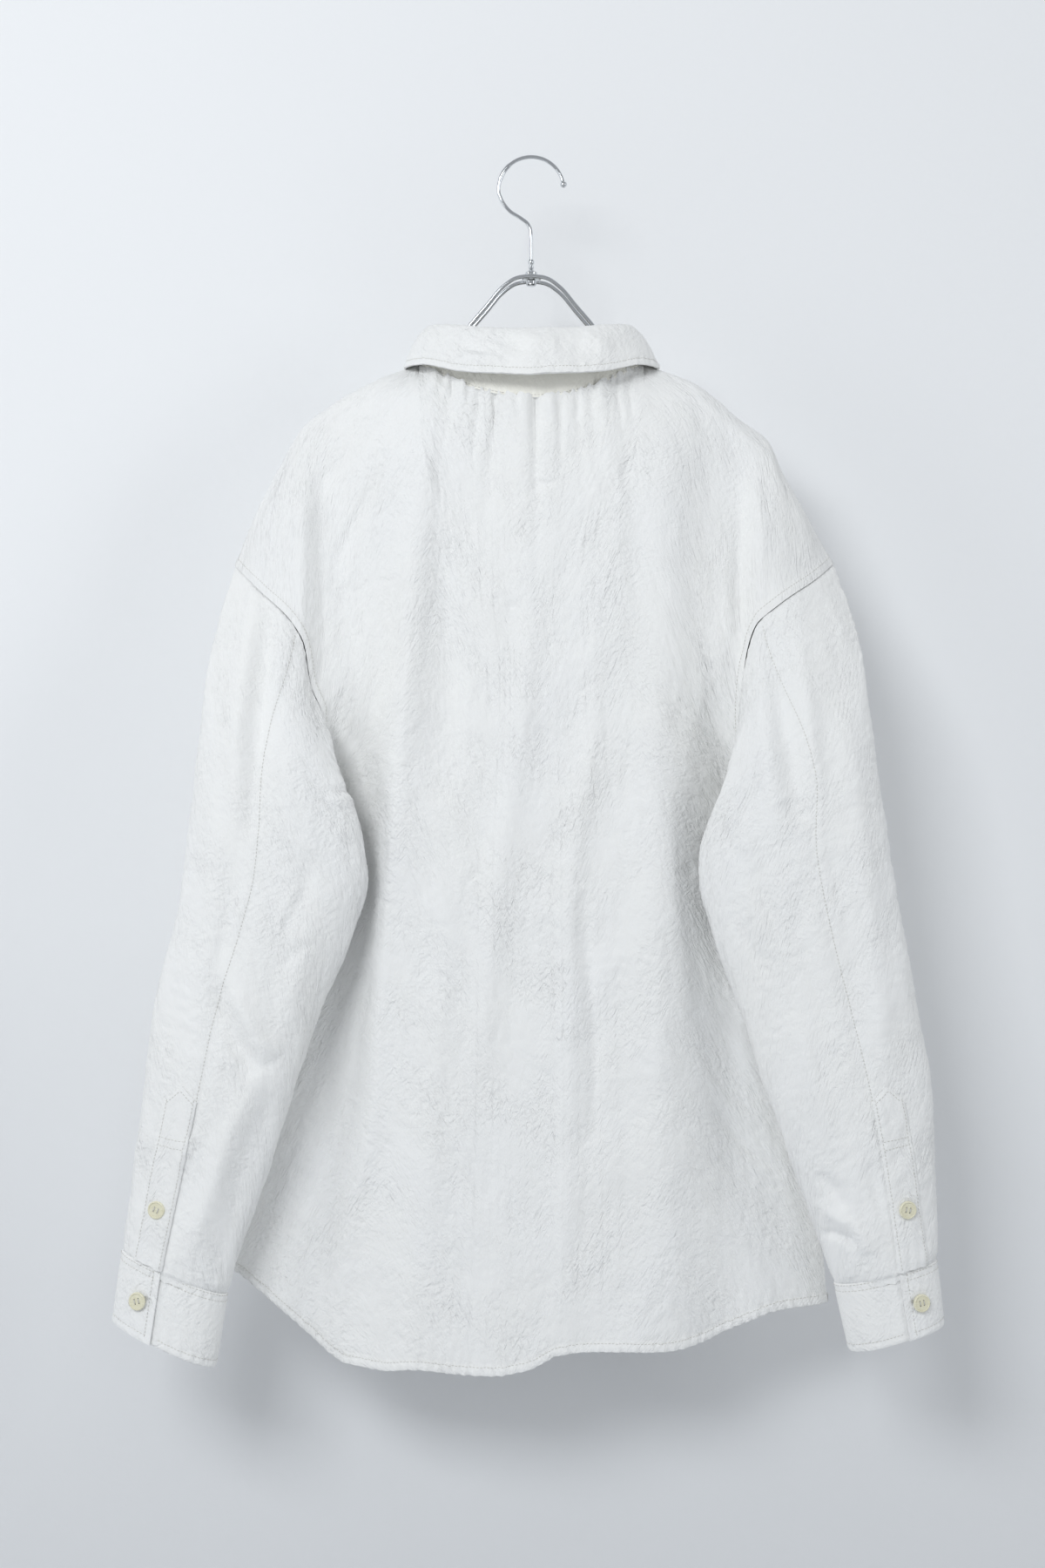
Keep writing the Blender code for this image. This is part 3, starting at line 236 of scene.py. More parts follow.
SLEEVE_CREASES = {
    LEFT: (
        (-4.5, 7, 0, ((-197, 330), (-202, 397), (-206, 456), (-207, 525))),
        (3.0, 7, 0, ((-212, 330), (-217, 400), (-221, 470), (-220, 530))),
        (2.5, 10, 0, ((-238, 470), (-237, 553), (-239, 640))),
        (-2.0, 8, 0, ((-222, 540), (-228, 596), (-244, 690))),
        (-1.5, 3, 0, ((-150, 494), (-134, 493))),
        (1.6, 4, 0, ((-152, 500), (-134, 502))),
        (-4.0, 7, 0, ((-236, 640), (-226, 668), (-214, 690), (-206, 706))),
        (3.2, 8, 0, ((-222, 640), (-208, 670), (-194, 694))),
        (3.5, 9, 0, ((-200, 700), (-226, 750), (-244, 806), (-262, 848))),
        (-2.6, 9, 0, ((-192, 720), (-212, 770), (-226, 820), (-238, 862))),
        (2.0, 9, 0, ((-150, 560), (-172, 620), (-190, 690))),
        (-1.5, 6, 0, ((-160, 540), (-186, 600))),
        (1.4, 4, 0, ((-168, 560), (-182, 578), (-190, 600))),
        (-1.4, 3.5, 0, ((-160, 606), (-176, 612), (-186, 626))),
        (1.6, 4, 0, ((-246, 748), (-258, 760), (-262, 776))),
        (-1.4, 4, 0, ((-282, 760), (-290, 780), (-296, 806))),
    ),
    RIGHT: (
        (-3.5, 9, 0, ((182, 370), (186, 414), (192, 462), (203, 513))),
        (3.0, 8, 0, ((170, 396), (174, 440), (180, 490), (190, 530))),
        (2.4, 7, 0, ((200, 380), (206, 430), (212, 500))),
        (-2.4, 4, 0, ((188, 500), (198, 512), (208, 514))),
        (-1.8, 4, 0, ((141, 513), (149, 530), (158, 550))),
        (1.6, 5, 0, ((148, 506), (158, 526), (168, 552))),
        (-1.8, 4, 0, ((170, 563), (180, 586), (189, 612))),
        (1.6, 4, 0, ((160, 566), (170, 590), (180, 616))),
        (-1.6, 4, 0, ((156, 590), (166, 612), (178, 636))),
        (-2.0, 8, 0, ((196, 560), (206, 620), (222, 680))),
        (2.4, 12, 0, ((236, 420), (250, 560), (262, 700))),
        (-2.2, 12, 0, ((226, 540), (240, 640), (256, 730))),
        (-2.6, 5, 0, ((214, 780), (226, 790), (236, 806))),
        (2.8, 5, 0, ((218, 800), (226, 812), (238, 816))),
        (-2.8, 3.5, 0, ((218, 827), (230, 826), (244, 834))),
        (2.6, 5, 0, ((236, 812), (246, 824), (252, 840))),
        (-1.8, 4, 0, ((252, 770), (256, 790), (262, 812))),
        (1.8, 6, 0, ((196, 660), (214, 720), (230, 770))),
        (1.4, 4, 0, ((284, 740), (288, 770), (292, 800))),
    ),
}
# The hidden halves of the sleeves, towards the wall.
SLEEVE_FRONT_CREASES = (
    (-3.0, 8, 0, ((206, 350), (200, 430), (206, 520))),
    (2.6, 10, 0, ((222, 400), (228, 520), (244, 640))),
    (-2.4, 6, 0, ((166, 560), (184, 600), (206, 626))),
    (2.2, 6, 0, ((170, 590), (192, 632), (214, 652))),
    (-2.4, 8, 0, ((226, 680), (240, 750), (256, 820))),
    (2.4, 7, 0, ((214, 740), (230, 790), (246, 840))),
)
# The strongest gathers: x at the seam, height, half-width at the seam, all in mm, and its fade.
GATHERS = (
    (-27.9, -3.4, 2.3, 0.050), (-19.0, 2.2, 5.0, 0.055), (-8.1, 2.6, 6.5, 0.075),
    (2.8, -4.0, 2.6, 0.052), (11.0, 1.6, 4.0, 0.040), (-40.0, -2.2, 2.4, 0.032), (-52.0, 1.9, 4.5, 0.040),
    (-60.5, -2.0, 2.6, 0.036), (21.0, -2.2, 2.4, 0.036), (34.0, -1.8, 2.4, 0.030),
    (45.0, -2.0, 2.4, 0.030), (53.0, 2.4, 4.5, 0.050), (63.0, -2.2, 2.8, 0.036),
    (71.7, -3.0, 4.5, 0.050), (-74.0, 2.2, 5.0, 0.060), (-82.0, -1.8, 2.6, 0.040),
)


# ---------------------------------------------------------------- cloth relief


def lattice_noise(u, v, seed):
    """Gradient noise over (u, v), about -0.7 to 0.7."""
    angles = np.random.default_rng(seed).random((256, 256)) * math.tau
    iu, iv = np.floor(u).astype(int), np.floor(v).astype(int)
    fu, fv = u - iu, v - iv
    su, sv = (f * f * f * (f * (f * 6 - 15) + 10) for f in (fu, fv))

    def corner(du, dv):
        a = angles[(iu + du) & 255, (iv + dv) & 255]
        return np.cos(a) * (fu - du) + np.sin(a) * (fv - dv)

    low = corner(0, 0) + su * (corner(1, 0) - corner(0, 0))
    high = corner(0, 1) + su * (corner(1, 1) - corner(0, 1))
    return low + sv * (high - low)


# Families of crinkles: direction from level in degrees, length, width in mm, height in mm.
CRINKLES = ((52, 24, 6.5, 1.10), (126, 22, 6.0, 0.95), (16, 26, 7.0, 0.60), (82, 44, 8.5, 0.80),
            (60, 12, 3.3, 0.62), (118, 11, 3.1, 0.58), (34, 12, 3.4, 0.45), (150, 10, 3.0, 0.40))


def crinkled(u, v, seed):
    """Relief of washed cloth, in metres: short soft ridges that meet at angles, in patches."""
    bend_u = lattice_noise(u / 0.035, v / 0.035, seed) * 0.010
    bend_v = lattice_noise(u / 0.035, v / 0.035, seed + 1) * 0.010
    total = np.zeros_like(u)
    for k, (angle, length, width, height) in enumerate(CRINKLES):
        a = math.radians(angle)
        p = ((u + bend_u) * math.cos(a) + (v + bend_v) * math.sin(a)) * 1000 / length
        q = ((v + bend_v) * math.cos(a) - (u + bend_u) * math.sin(a)) * 1000 / width
        n = lattice_noise(p, q, seed + 10 + k)
        tent = 0.35 - np.sqrt(n * n + 0.0025)
        patch = ease(lattice_noise(u / 0.06, v / 0.07, seed + 30 + k), -0.28, 0.30)
        total += tent * (0.25 + 0.75 * patch) * height
    soft = lattice_noise(u / 0.045, v / 0.070, seed + 50) * 1.6
    soft += lattice_noise(u / 0.022, v / 0.030, seed + 51) * 0.7
    return (total + soft) * 0.001


CREASE_STEP, CREASE_REACH = 12, 4  # in mm along its path, and in half-widths to each side


def creased(table, x, drop):
    """Height of the listed creases at (x, drop), in metres."""
    total = np.zeros_like(x)
    px, pz = x * 1000, drop * 1000
    for height, width, lean, path in table:
        path = np.array(path, float)
        length = np.concatenate([[0], np.cumsum(np.linalg.norm(np.diff(path, axis=0), axis=1))])
        steps = max(3, int(length[-1] / CREASE_STEP))
        line = profile(*np.column_stack([length / length[-1], path]))(np.linspace(0, 1, steps + 1))
        lo, hi = line.min(0) - CREASE_REACH * width, line.max(0) + CREASE_REACH * width
        near = (px > lo[0]) & (px < hi[0]) & (pz > lo[1]) & (pz < hi[1])
        if not near.any():
            continue
        qx, qz = px[near], pz[near]
        closest = np.full(qx.shape, 1e9)
        beside, share = np.zeros_like(qx), np.zeros_like(qx)
        for i in range(steps):
            start, ahead = line[i], line[i + 1] - line[i]
            size = math.hypot(*ahead)
            ahead = ahead / size
            dx, dz = qx - start[0], qz - start[1]
            t = np.clip(dx * ahead[0] + dz * ahead[1], 0, size)
            d = np.hypot(dx - t * ahead[0], dz - t * ahead[1])
            closer = d < closest
            closest = np.where(closer, d, closest)
            beside = np.where(closer, ahead[0] * dz - ahead[1] * dx, beside)
            share = np.where(closer, (i + t / size) / steps, share)
        taper = np.sqrt(np.clip(np.sin(math.pi * np.clip(share, 0, 1)), 0, 1))
        shape = np.exp(-((closest / width) ** 2)) * (1 + lean * np.tanh(beside / width * 1.5))
        total[near] += height * 0.001 * shape * taper
    return total


# ---------------------------------------------------------------- grids of points


def ring_point(turn, half, depths, side_drop, drops):
    """Points of a ring round the neck, from its back and front depths and drops."""
    turn = np.asarray(turn, float)
    a = np.radians(turn)
    behind = np.abs(turn) <= 90
    depth, low = np.where(behind, *depths), np.where(behind, *drops)
    drop = side_drop + (low - side_drop) * np.cos(a) ** 2
    return np.stack([half * np.sin(a), -depth * np.cos(a), -drop], axis=-1)


def neck_point(turn):
    """Points of the neck seam: turn 0 is the middle of the back, 180 that of the front."""
    return ring_point(turn, NECK_HALF, (NECK_BACK, NECK_FRONT), NECK_SIDE_DROP,
                      (NECK_DROP, NECK_FRONT_DROP))


def fold_point(turn):
    """Points of the collar's fold line, above neck_point at the same turn."""
    return ring_point(turn, FOLD_HALF, (FOLD_BACK, FOLD_FRONT), FOLD_SIDE_DROP,
                      (FOLD_DROP, FOLD_FRONT_DROP))


def placed(side, table):
    """Points of one side from a table of (out, y, drop)."""
    out, y, drop = np.array(table, float).T
    return np.column_stack([side * out, y, -drop])


ARM_FINE = np.concatenate([0.04 * np.linspace(0, 1, 14)[:-1] ** 1.6, np.linspace(0.04, 1, 136)])
SIDE_FINE = np.linspace(0, 1, 181)[1:]


def panel_lines(step):
    """Fractions down the armhole and down the side seam, taking every step-th row."""
    arm = np.concatenate([ARM_FINE[:-1:step], ARM_FINE[-1:]])
    return arm, SIDE_FINE[step - 1::step]


def shoulder_line(side, count):
    """The shoulder seam, from its outer end to the neck."""
    table = [(out, 0, drop) for out, drop in SHOULDER[side]]
    return along(placed(side, table), np.linspace(0, 1, count + 1))


def side_line(side, armhole, step):
    """A panel's outer edge: down the armhole, then down the side seam."""
    arm, seam = panel_lines(step)
    upper = along(placed(side, armhole[side]), arm)
    return np.vstack([upper, along(placed(side, SIDE_SEAM[side]), seam)])


def panel_rows(step):
    """Fractions of a panel's height, one for each row."""
    arm, seam = panel_lines(step)
    return np.concatenate([ARM_SHARE * arm, ARM_SHARE + (1 - ARM_SHARE) * seam])


def back_depth(x, drop):
    """How far the back hangs behind the hook, with its folds."""
    middle, sides = np.moveaxis(BACK_DEPTH(drop), -1, 0)
    depth = middle + (sides - middle) * ease(np.abs(x), 0.085, 0.160)
    cap = ease(drop, 0.235, 0.290) * (1 - ease(drop, 0.385, 0.430))
    depth = depth + CAP_DEPTH * cap * ease(np.abs(x), 0.160, 0.176)
    return depth + BACK_FOLDS * creased(BACK_CREASES, x, drop) * ease(drop, 0.17, 0.24)


def front_depth(side):
    """How far a front hangs before the hook, with its folds, as a function of (x, drop)."""
    def depth_at(x, drop):
        middle, sides = np.moveaxis(FRONT_DEPTH(drop), -1, 0)
        depth = middle + (sides - middle) * ease(np.abs(x), 0.060, 0.150)
        return depth + creased(FRONT_CREASES[side], x, drop) * ease(drop, 0.22, 0.32)
    return depth_at


def panel(top, bottom_x, bottom_drop, left, right, depth, face, lip, step):
    """The outer face of a body panel between its four edges."""
    rows = panel_rows(step)[:, None]
    top_share = (top[:, 0] - top[0, 0]) / (top[-1, 0] - top[0, 0])
    low_share = (bottom_x - bottom_x[0]) / (bottom_x[-1] - bottom_x[0])
    share = top_share + (low_share - top_share) * (1 - (1 - rows) ** 2.4)
    x = left[:, :1] + (right[:, :1] - left[:, :1]) * share
    z = top[:, 2] + (-bottom_drop - top[:, 2]) * rows
    z = z + (left[:, 2] - z[:, 0])[:, None] * (1 - share) ** 6
    z = z + (right[:, 2] - z[:, -1])[:, None] * share ** 6
    fallen = top[:, 2] - z
    full = face * depth(x, -z)
    turned = 1 - np.exp(-fallen / 0.003)
    settled = 1 - np.exp(-fallen / 0.030)
    y = top[:, 1] + face * lip * turned + (full - top[:, 1] - face * lip) * settled
    y = y + (left[:, 1] - y[:, 0])[:, None] * np.exp(-np.abs(x - left[:, :1]) / 0.016)
    y = y + (right[:, 1] - y[:, -1])[:, None] * np.exp(-np.abs(right[:, :1] - x) / 0.016)
    grid = np.stack([x, y, z], axis=-1)
    grid[0], grid[:, 0], grid[:, -1] = top, left, right
    return grid


CORNER_SPAN, CORNER_BLUR = 24, 9.0  # in mm


def rounded_corners(grid, corners):
    """Softens the depth below the inner ends of the shoulder seams, row by row."""
    level = np.arange(grid[..., 0].min(), grid[..., 0].max(), 0.001)
    kernel = np.exp(-((np.arange(-CORNER_SPAN, CORNER_SPAN + 1) / CORNER_BLUR) ** 2))
    kernel /= kernel.sum()
    for row in range(1, len(grid)):
        x, y = grid[row, :, 0], grid[row, :, 1]
        order = np.argsort(x)
        line = np.interp(level, x[order], y[order])
        soft = np.convolve(np.pad(line, CORNER_SPAN, mode="edge"), kernel, mode="valid")
        near = sum(np.exp(-(((x - corner) / 0.024) ** 2)) for corner in corners)
        fallen = grid[0, :, 2] - grid[row, :, 2]
        grid[row, :, 1] += (np.interp(x, level, soft) - y) * near * ease(fallen, 0.001, 0.018)
    return grid


def lips(count, rest, mirrored=False):
    """The lip of each column: none at the shoulder point and along the neck."""
    span = np.linspace(0, 1, count + 1)
    shoulder = YOKE_LIP * ease(span, 0, 0.35) * (1 - 0.75 * ease(span, 0.8, 1))
    return np.concatenate([shoulder, np.zeros(rest), shoulder[::-1] if mirrored else []])


def grid_normals(grid, closed=False):
    """Unit normals of a grid, the cross product of its column and row directions."""
    if closed:
        padded = np.concatenate([grid[:, -2:-1], grid, grid[:, 1:2]], axis=1)
        across = padded[:, 2:] - padded[:, :-2]
    else:
        across = np.gradient(grid, axis=1)
    return unit(np.cross(across, np.gradient(grid, axis=0)))


def from_edge(grid, which):
    """Distance of every point from one edge of its grid, along the rows or the columns."""
    if which in ("left", "right"):
        step = np.linalg.norm(np.diff(grid, axis=1), axis=-1)
        zero = np.zeros((grid.shape[0], 1))
        if which == "left":
            return np.concatenate([zero, np.cumsum(step, axis=1)], axis=1)
        return np.concatenate([np.cumsum(step[:, ::-1], axis=1)[:, ::-1], zero], axis=1)
    turned = from_edge(np.swapaxes(grid, 0, 1), "left" if which == "top" else "right")
    return np.swapaxes(turned, 0, 1)


def edge_length(grid, axis):
    """Running length along the rows (axis 1) or down the columns (axis 0)."""
    step = np.linalg.norm(np.diff(grid, axis=axis), axis=-1)
    shape = list(grid.shape[:2])
    shape[axis] = 1
    return np.concatenate([np.zeros(shape), np.cumsum(step, axis=axis)], axis=axis)


def puckers(distance, run, seed, pitch=0.0065, depth=0.0005, reach=0.010):
    """Small ripples square to a seam that die away from it."""
    wander = lattice_noise(run / 0.03, np.zeros_like(run) + seed, seed) * 2.5
    wave = np.sin(run / pitch * math.tau + wander * math.tau / 2)
    strength = 0.6 + 0.9 * lattice_noise(run / 0.02, np.zeros_like(run) + 9.5, seed + 3)
    return depth * wave * strength * np.exp(-distance / reach)


# ---------------------------------------------------------------- meshes


def mesh_piece(name, points, faces, material, weave=None, smooth=180, flip=False):
    """A smooth-shaded mesh that rides on the frame."""
    data = bpy.data.meshes.new(name)
    data.vertices.add(len(points))
    data.vertices.foreach_set("co", np.asarray(points, np.float32).ravel())
    faces = np.asarray(faces, np.int32)
    if flip:
        faces = faces[:, ::-1]
    sides = faces.shape[1]
    data.loops.add(faces.size)
    data.loops.foreach_set("vertex_index", faces.ravel())
    data.polygons.add(len(faces))
    data.polygons.foreach_set("loop_start", np.arange(0, faces.size, sides, dtype=np.int32))
    data.polygons.foreach_set("loop_total", np.full(len(faces), sides, np.int32))
    data.update(calc_edges=True)
    data.validate()
    data.shade_smooth()
    if smooth < 180:
        data.set_sharp_from_angle(angle=math.radians(smooth))
    if weave is not None:
        layer = data.attributes.new("weave", "FLOAT_VECTOR", "POINT")
        layer.data.foreach_set("vector", np.asarray(weave, np.float32).ravel())
    data.materials.append(material)
    piece = bpy.data.objects.new(name, data)
    bpy.context.collection.objects.link(piece)
    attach(piece, "root")
    return piece


def grid_faces(rows, columns):
    """Four-sided faces between the points of a grid."""
    index = np.arange(rows * columns).reshape(rows, columns)
    return np.stack([index[:-1, :-1], index[1:, :-1], index[1:, 1:], index[:-1, 1:]],
                    axis=-1).reshape(-1, 4)


def cloth_coordinates(grid):
    """Place of each point in the flat cloth: along the rows, down the columns."""
    u, v = edge_length(grid, 1), edge_length(grid, 0)
    middle = grid.shape[1] // 2
    u = u - u[:, middle:middle + 1]
    return np.stack([u, v, np.zeros_like(u)], axis=-1)


def sheet_piece(name, grid, material, flip=False):
    """One open sheet of cloth."""
    rows, columns = grid.shape[:2]
    weave = cloth_coordinates(grid).reshape(-1, 3)
    return mesh_piece(name, grid.reshape(-1, 3), grid_faces(rows, columns), material,
                      weave, flip=flip)


def shell_piece(name, outer, inner, material, flip=False):
    """A closed wall between two grids of the same shape."""
    rows, columns = outer.shape[:2]
    count = rows * columns
    index = np.arange(count).reshape(rows, columns)
    loop = np.concatenate([index[0, :-1], index[:-1, -1], index[-1, :0:-1], index[:0:-1, 0]])
    after = np.roll(loop, -1)
    rim = np.column_stack([loop, after, after + count, loop + count])
    front = grid_faces(rows, columns)
    faces = np.vstack([front, front[:, ::-1] + count, rim])
    points = np.vstack([outer.reshape(-1, 3), inner.reshape(-1, 3)])
    weave = np.vstack([cloth_coordinates(outer).reshape(-1, 3)] * 2)
    return mesh_piece(name, points, faces, material, weave, smooth=60, flip=flip)


def sample(grid, row, column):
    """Points of a grid at fractional rows and columns."""
    row = np.clip(row, 0, grid.shape[0] - 1.001)
    column = np.clip(column, 0, grid.shape[1] - 1.001)
    r, c = np.floor(row).astype(int), np.floor(column).astype(int)
    a, b = (row - r)[:, None], (column - c)[:, None]
    return ((grid[r, c] * (1 - b) + grid[r, c + 1] * b) * (1 - a)
            + (grid[r + 1, c] * (1 - b) + grid[r + 1, c + 1] * b) * a)


def inset_line(grid, normals, which, distance, first=0.0, last=1.0):
    """A line at a distance in from one edge of a grid, and the normals along it."""
    turned = which in ("top", "bottom")
    g = np.swapaxes(grid, 0, 1) if turned else grid
    n = np.swapaxes(normals, 0, 1) if turned else normals
    inward = from_edge(g, "left" if which in ("left", "top") else "right")
    rows = np.linspace(first, last, int(2 + (last - first) * len(g))) * (len(g) - 1.001)
    columns = []
    for row in rows:
        line = inward[int(row)]
        order = np.arange(len(line))
        if which in ("left", "top"):
            columns.append(np.interp(distance, line, order))
        else:
            columns.append(np.interp(distance, line[::-1], order[::-1]))
    columns = np.array(columns)
    return sample(g, rows, columns), unit(sample(n, rows, columns))


STITCH_PITCH, STITCH_LENGTH, STITCH_RADIUS, STITCH_LIFT = 0.0028, 0.0020, 0.00020, 0.0001


def stitch_row(store, line, normals):
    """Adds a row of short stitches along a line to store, a list of (points, faces)."""
    step = np.linalg.norm(np.diff(line, axis=0), axis=1)
    run = np.concatenate([[0], np.cumsum(step)])
    count = int(run[-1] / STITCH_PITCH)
    if count < 1:
        return
    centres = (np.arange(count) + 0.5) * STITCH_PITCH

    def between(values, places):
        return np.stack([np.interp(places, run, values[:, k]) for k in range(3)], axis=-1)

    at, up = between(line, centres), unit(between(normals, centres))
    half = STITCH_PITCH / 2
    ahead = unit(between(line, centres + half) - between(line, centres - half))
    side = unit(np.cross(up, ahead))
    up = np.cross(ahead, side)
    sides = 5
    angles = np.arange(sides) * math.tau / sides
    stations = ((-0.5, 0.35, -0.8), (-0.3, 1.0, 0.6), (0.3, 1.0, 0.6), (0.5, 0.35, -0.8))
    rings = []
    for reach, size, height in stations:
        centre = at + ahead * reach * STITCH_LENGTH + up * (STITCH_LIFT + STITCH_RADIUS * height)
        rings.append(centre[:, None]
                     + side[:, None] * (np.cos(angles) * STITCH_RADIUS * size)[:, None]
                     + up[:, None] * (np.sin(angles) * STITCH_RADIUS * size)[:, None])
    points = np.stack(rings, axis=1).reshape(-1, 3)
    base = np.arange(count)[:, None, None] * sides * len(stations)
    ring_index = np.arange(len(stations) - 1)[None, :, None] * sides
    k = np.arange(sides)
    quad = np.stack([k, (k + 1) % sides, (k + 1) % sides + sides, k + sides], axis=-1)
    faces = (base[..., None] + ring_index[..., None] + quad).reshape(-1, 4)
    store.append((points, faces))


def joined(name, store, material):
    """One mesh from many small ones."""
    points, faces, start = [], [], 0
    for some_points, some_faces in store:
        points.append(some_points)
        faces.append(some_faces + start)
        start += len(some_points)
    return mesh_piece(name, np.vstack(points), np.vstack(faces), material,
                      weave=np.vstack(points))


def round_bar(path, radii, normal, binormal, sides, closed):
    """Points and faces of a bar whose rings lie along two directions square to its path."""
    a = np.arange(sides) * math.tau / sides
    rings = (path[:, None] + radii[:, None, None]
             * (np.cos(a)[:, None] * normal[:, None] + np.sin(a)[:, None] * binormal[:, None]))
    index = np.arange(len(path) * sides).reshape(len(path), sides)
    after = np.roll(index, -1, axis=1)
    high, high_after = np.roll(index, -1, axis=0), np.roll(after, -1, axis=0)
    count = len(path) if closed else len(path) - 1
    faces = np.stack([index, after, high_after, high], axis=-1)[:count].reshape(-1, 4)
    return rings.reshape(-1, 3), faces


def tube(points, radii, sides):
    """Points and faces of a round bar along an open path."""
    points = np.array(points, float)
    radii = np.broadcast_to(radii, len(points)).astype(float)
    tangent = unit(np.gradient(points, axis=0))
    normal = unit(np.cross(tangent[0], (0.3, 1, 0.2)))
    frames = []
    for ahead in tangent:
        normal = unit(normal - ahead * np.dot(normal, ahead))
        frames.append(normal)
    normal = np.array(frames)
    return round_bar(points, radii, normal, np.cross(tangent, normal), sides, closed=False)


def closed_tube(loop, radius, sides):
    """Points and faces of a round bar along a closed path that never stands upright."""
    tangent = unit(np.roll(loop, -1, axis=0) - np.roll(loop, 1, axis=0))
    across = unit(np.cross((0, 0, 1.0), tangent))
    radii = np.full(len(loop), radius)
    return round_bar(loop, radii, np.cross(tangent, across), across, sides, closed=True)


def revolved(mesh, outline, closed=False):
    """Turns an outline of (radius, height) once round the z axis, in 48 steps."""
    verts = [mesh.verts.new((radius, 0, height)) for radius, height in outline]
    after = verts[1:] + verts[:1] if closed else verts[1:]
    edges = [mesh.edges.new(pair) for pair in zip(verts, after)]
    bmesh.ops.spin(mesh, geom=verts + edges, cent=(0, 0, 0), axis=(0, 0, 1), angle=math.tau,
                   steps=48, use_merge=True)


def triangles_of(mesh):
    """Points and outward faces of a bmesh, which is freed; the faces are sorted, so that every
    run gives the same list."""
    bmesh.ops.triangulate(mesh, faces=mesh.faces)
    bmesh.ops.recalc_face_normals(mesh, faces=mesh.faces)
    mesh.verts.index_update()
    points = np.array([v.co for v in mesh.verts])
    faces = np.array([[v.index for v in f.verts] for f in mesh.faces])
    mesh.free()
    turned = (faces.argmin(axis=1)[:, None] + np.arange(3)) % 3
    faces = np.take_along_axis(faces, turned, axis=1)
    return points, faces[np.lexsort(faces.T[::-1])]


# ---------------------------------------------------------------- materials


class Term:
    """A socket of a material that takes arithmetic."""

    def __init__(self, graph, socket):
        self.graph, self.socket = graph, socket

    def _with(self, operation, first, second):
        return self.graph.node("ShaderNodeMath", {"operation": operation}, {0: first, 1: second})

    def __add__(self, other):
        return self._with("ADD", self, other)

    def __sub__(self, other):
        return self._with("SUBTRACT", self, other)

    def __rsub__(self, other):
        return self._with("SUBTRACT", other, self)

    def __mul__(self, other):
        return self._with("MULTIPLY", self, other)

    __radd__, __rmul__ = __add__, __mul__


class Finish:
    """One material: its Principled shader and the nodes that feed it."""

    def __init__(self, name, colour, roughness, **constants):
        self.material = bpy.data.materials.new(name)
        self.material.use_nodes = True
        self.material.diffuse_color = (*colour, 1)
        self.colour = colour
        self.tree = self.material.node_tree
        self.shader = self.tree.nodes["Principled BSDF"]
        self.feed("Base Color", (*colour, 1))
        self.feed("Roughness", roughness)
        for key, value in constants.items():
            self.feed(key.replace("_", " ").title(), value)

    def feed(self, key, value, node=None):
        socket = (node or self.shader).inputs[key]
        if isinstance(value, Term):
            self.tree.links.new(value.socket, socket)
        else:
            socket.default_value = value

    def node(self, kind, settings=None, inputs=None, output=0):
        made = self.tree.nodes.new(kind)
        for key, value in (settings or {}).items():
            setattr(made, key, value)
        for key, value in (inputs or {}).items():
            self.feed(key, value, made)
        return Term(self, made.outputs[output])

    def noise(self, place, scale, detail=2.0, rough=0.5):
        """Noise in steps of 1/scale metres along each axis."""
        place = self.node("ShaderNodeVectorMath", {"operation": "MULTIPLY"}, {0: place, 1: scale})
        return self.node("ShaderNodeTexNoise", None, {"Vector": place, "Scale": 1.0, "Detail": detail,
                                                      "Roughness": rough})

    def mix(self, factor, first, second):
        colours = [(*c, 1) if isinstance(c, tuple) else c for c in (first, second)]
        return self.node("ShaderNodeMix", {"data_type": "RGBA"},
                         {0: factor, 6: colours[0], 7: colours[1]}, output=2)

    def bump(self, height, depth):
        self.feed("Normal", self.node("ShaderNodeBump", None,
                                      {"Height": height, "Distance": depth, "Strength": 1.0}))

    def darker(self, factor, share):
        """The finish's own colour where factor is 1, and a share of it where it is 0."""
        dark = tuple(share * c for c in self.colour)
        self.feed("Base Color", self.mix(factor, dark, self.colour))


def cotton(name, colour, warm, depth, crease_depth):
    """Plain-weave washed cotton: slubbed yarns both ways, faint mottling, a matt dry surface."""
    finish = Finish(name, colour, 0.88, sheen_weight=0.04, sheen_roughness=0.5)
    finish.shader.inputs["Specular IOR Level"].default_value = 0.25
    place = finish.node("ShaderNodeAttribute", {"attribute_name": "weave"}, output=1)
    warp = finish.noise(place, (1500.0, 90.0, 1.0), 2.0)
    weft = finish.noise(place, (110.0, 1300.0, 1.0), 2.0)
    slub = finish.noise(place, (620.0, 45.0, 1.0), 1.0)
    grain = finish.noise(place, (900.0, 900.0, 1.0), 3.0, 0.6)
    creases = 0.0
    for angle, length, width, height in ((50, 0.013, 0.0050, 0.50), (-48, 0.012, 0.0046, 0.46),
                                         (12, 0.011, 0.0052, 0.26), (-78, 0.010, 0.0042, 0.22)):
        turned = finish.node("ShaderNodeMapping", {"vector_type": "TEXTURE"},
                             {"Vector": place, "Scale": (length, width, 1.0),
                              "Rotation": (0, 0, math.radians(angle))})
        field = finish.noise(turned, (1.0, 1.0, 1.0), 2.0, 0.5)
        ridge = finish.node("ShaderNodeMath", {"operation": "ABSOLUTE"}, {0: field - 0.5})
        patch = finish.noise(place, (21.0 + angle * 0.05, 17.0, 1.0), 2.0)
        creases = creases + ridge * height * ((patch - 0.30) * 2.4)
    mottle = finish.noise(place, (9.0, 6.0, 1.0), 3.0, 0.55)
    weave = warp * 0.35 + weft * 0.35 + slub * 0.3 + grain * 0.3
    finish.bump(weave * depth - creases * crease_depth, 1.0)
    shade = (warp + weft) * 0.35 + mottle * 0.5 - 0.35
    finish.feed("Base Color", finish.mix(shade, warm, colour))
    finish.feed("Roughness", weave * 0.08 + 0.80)
    return finish.material


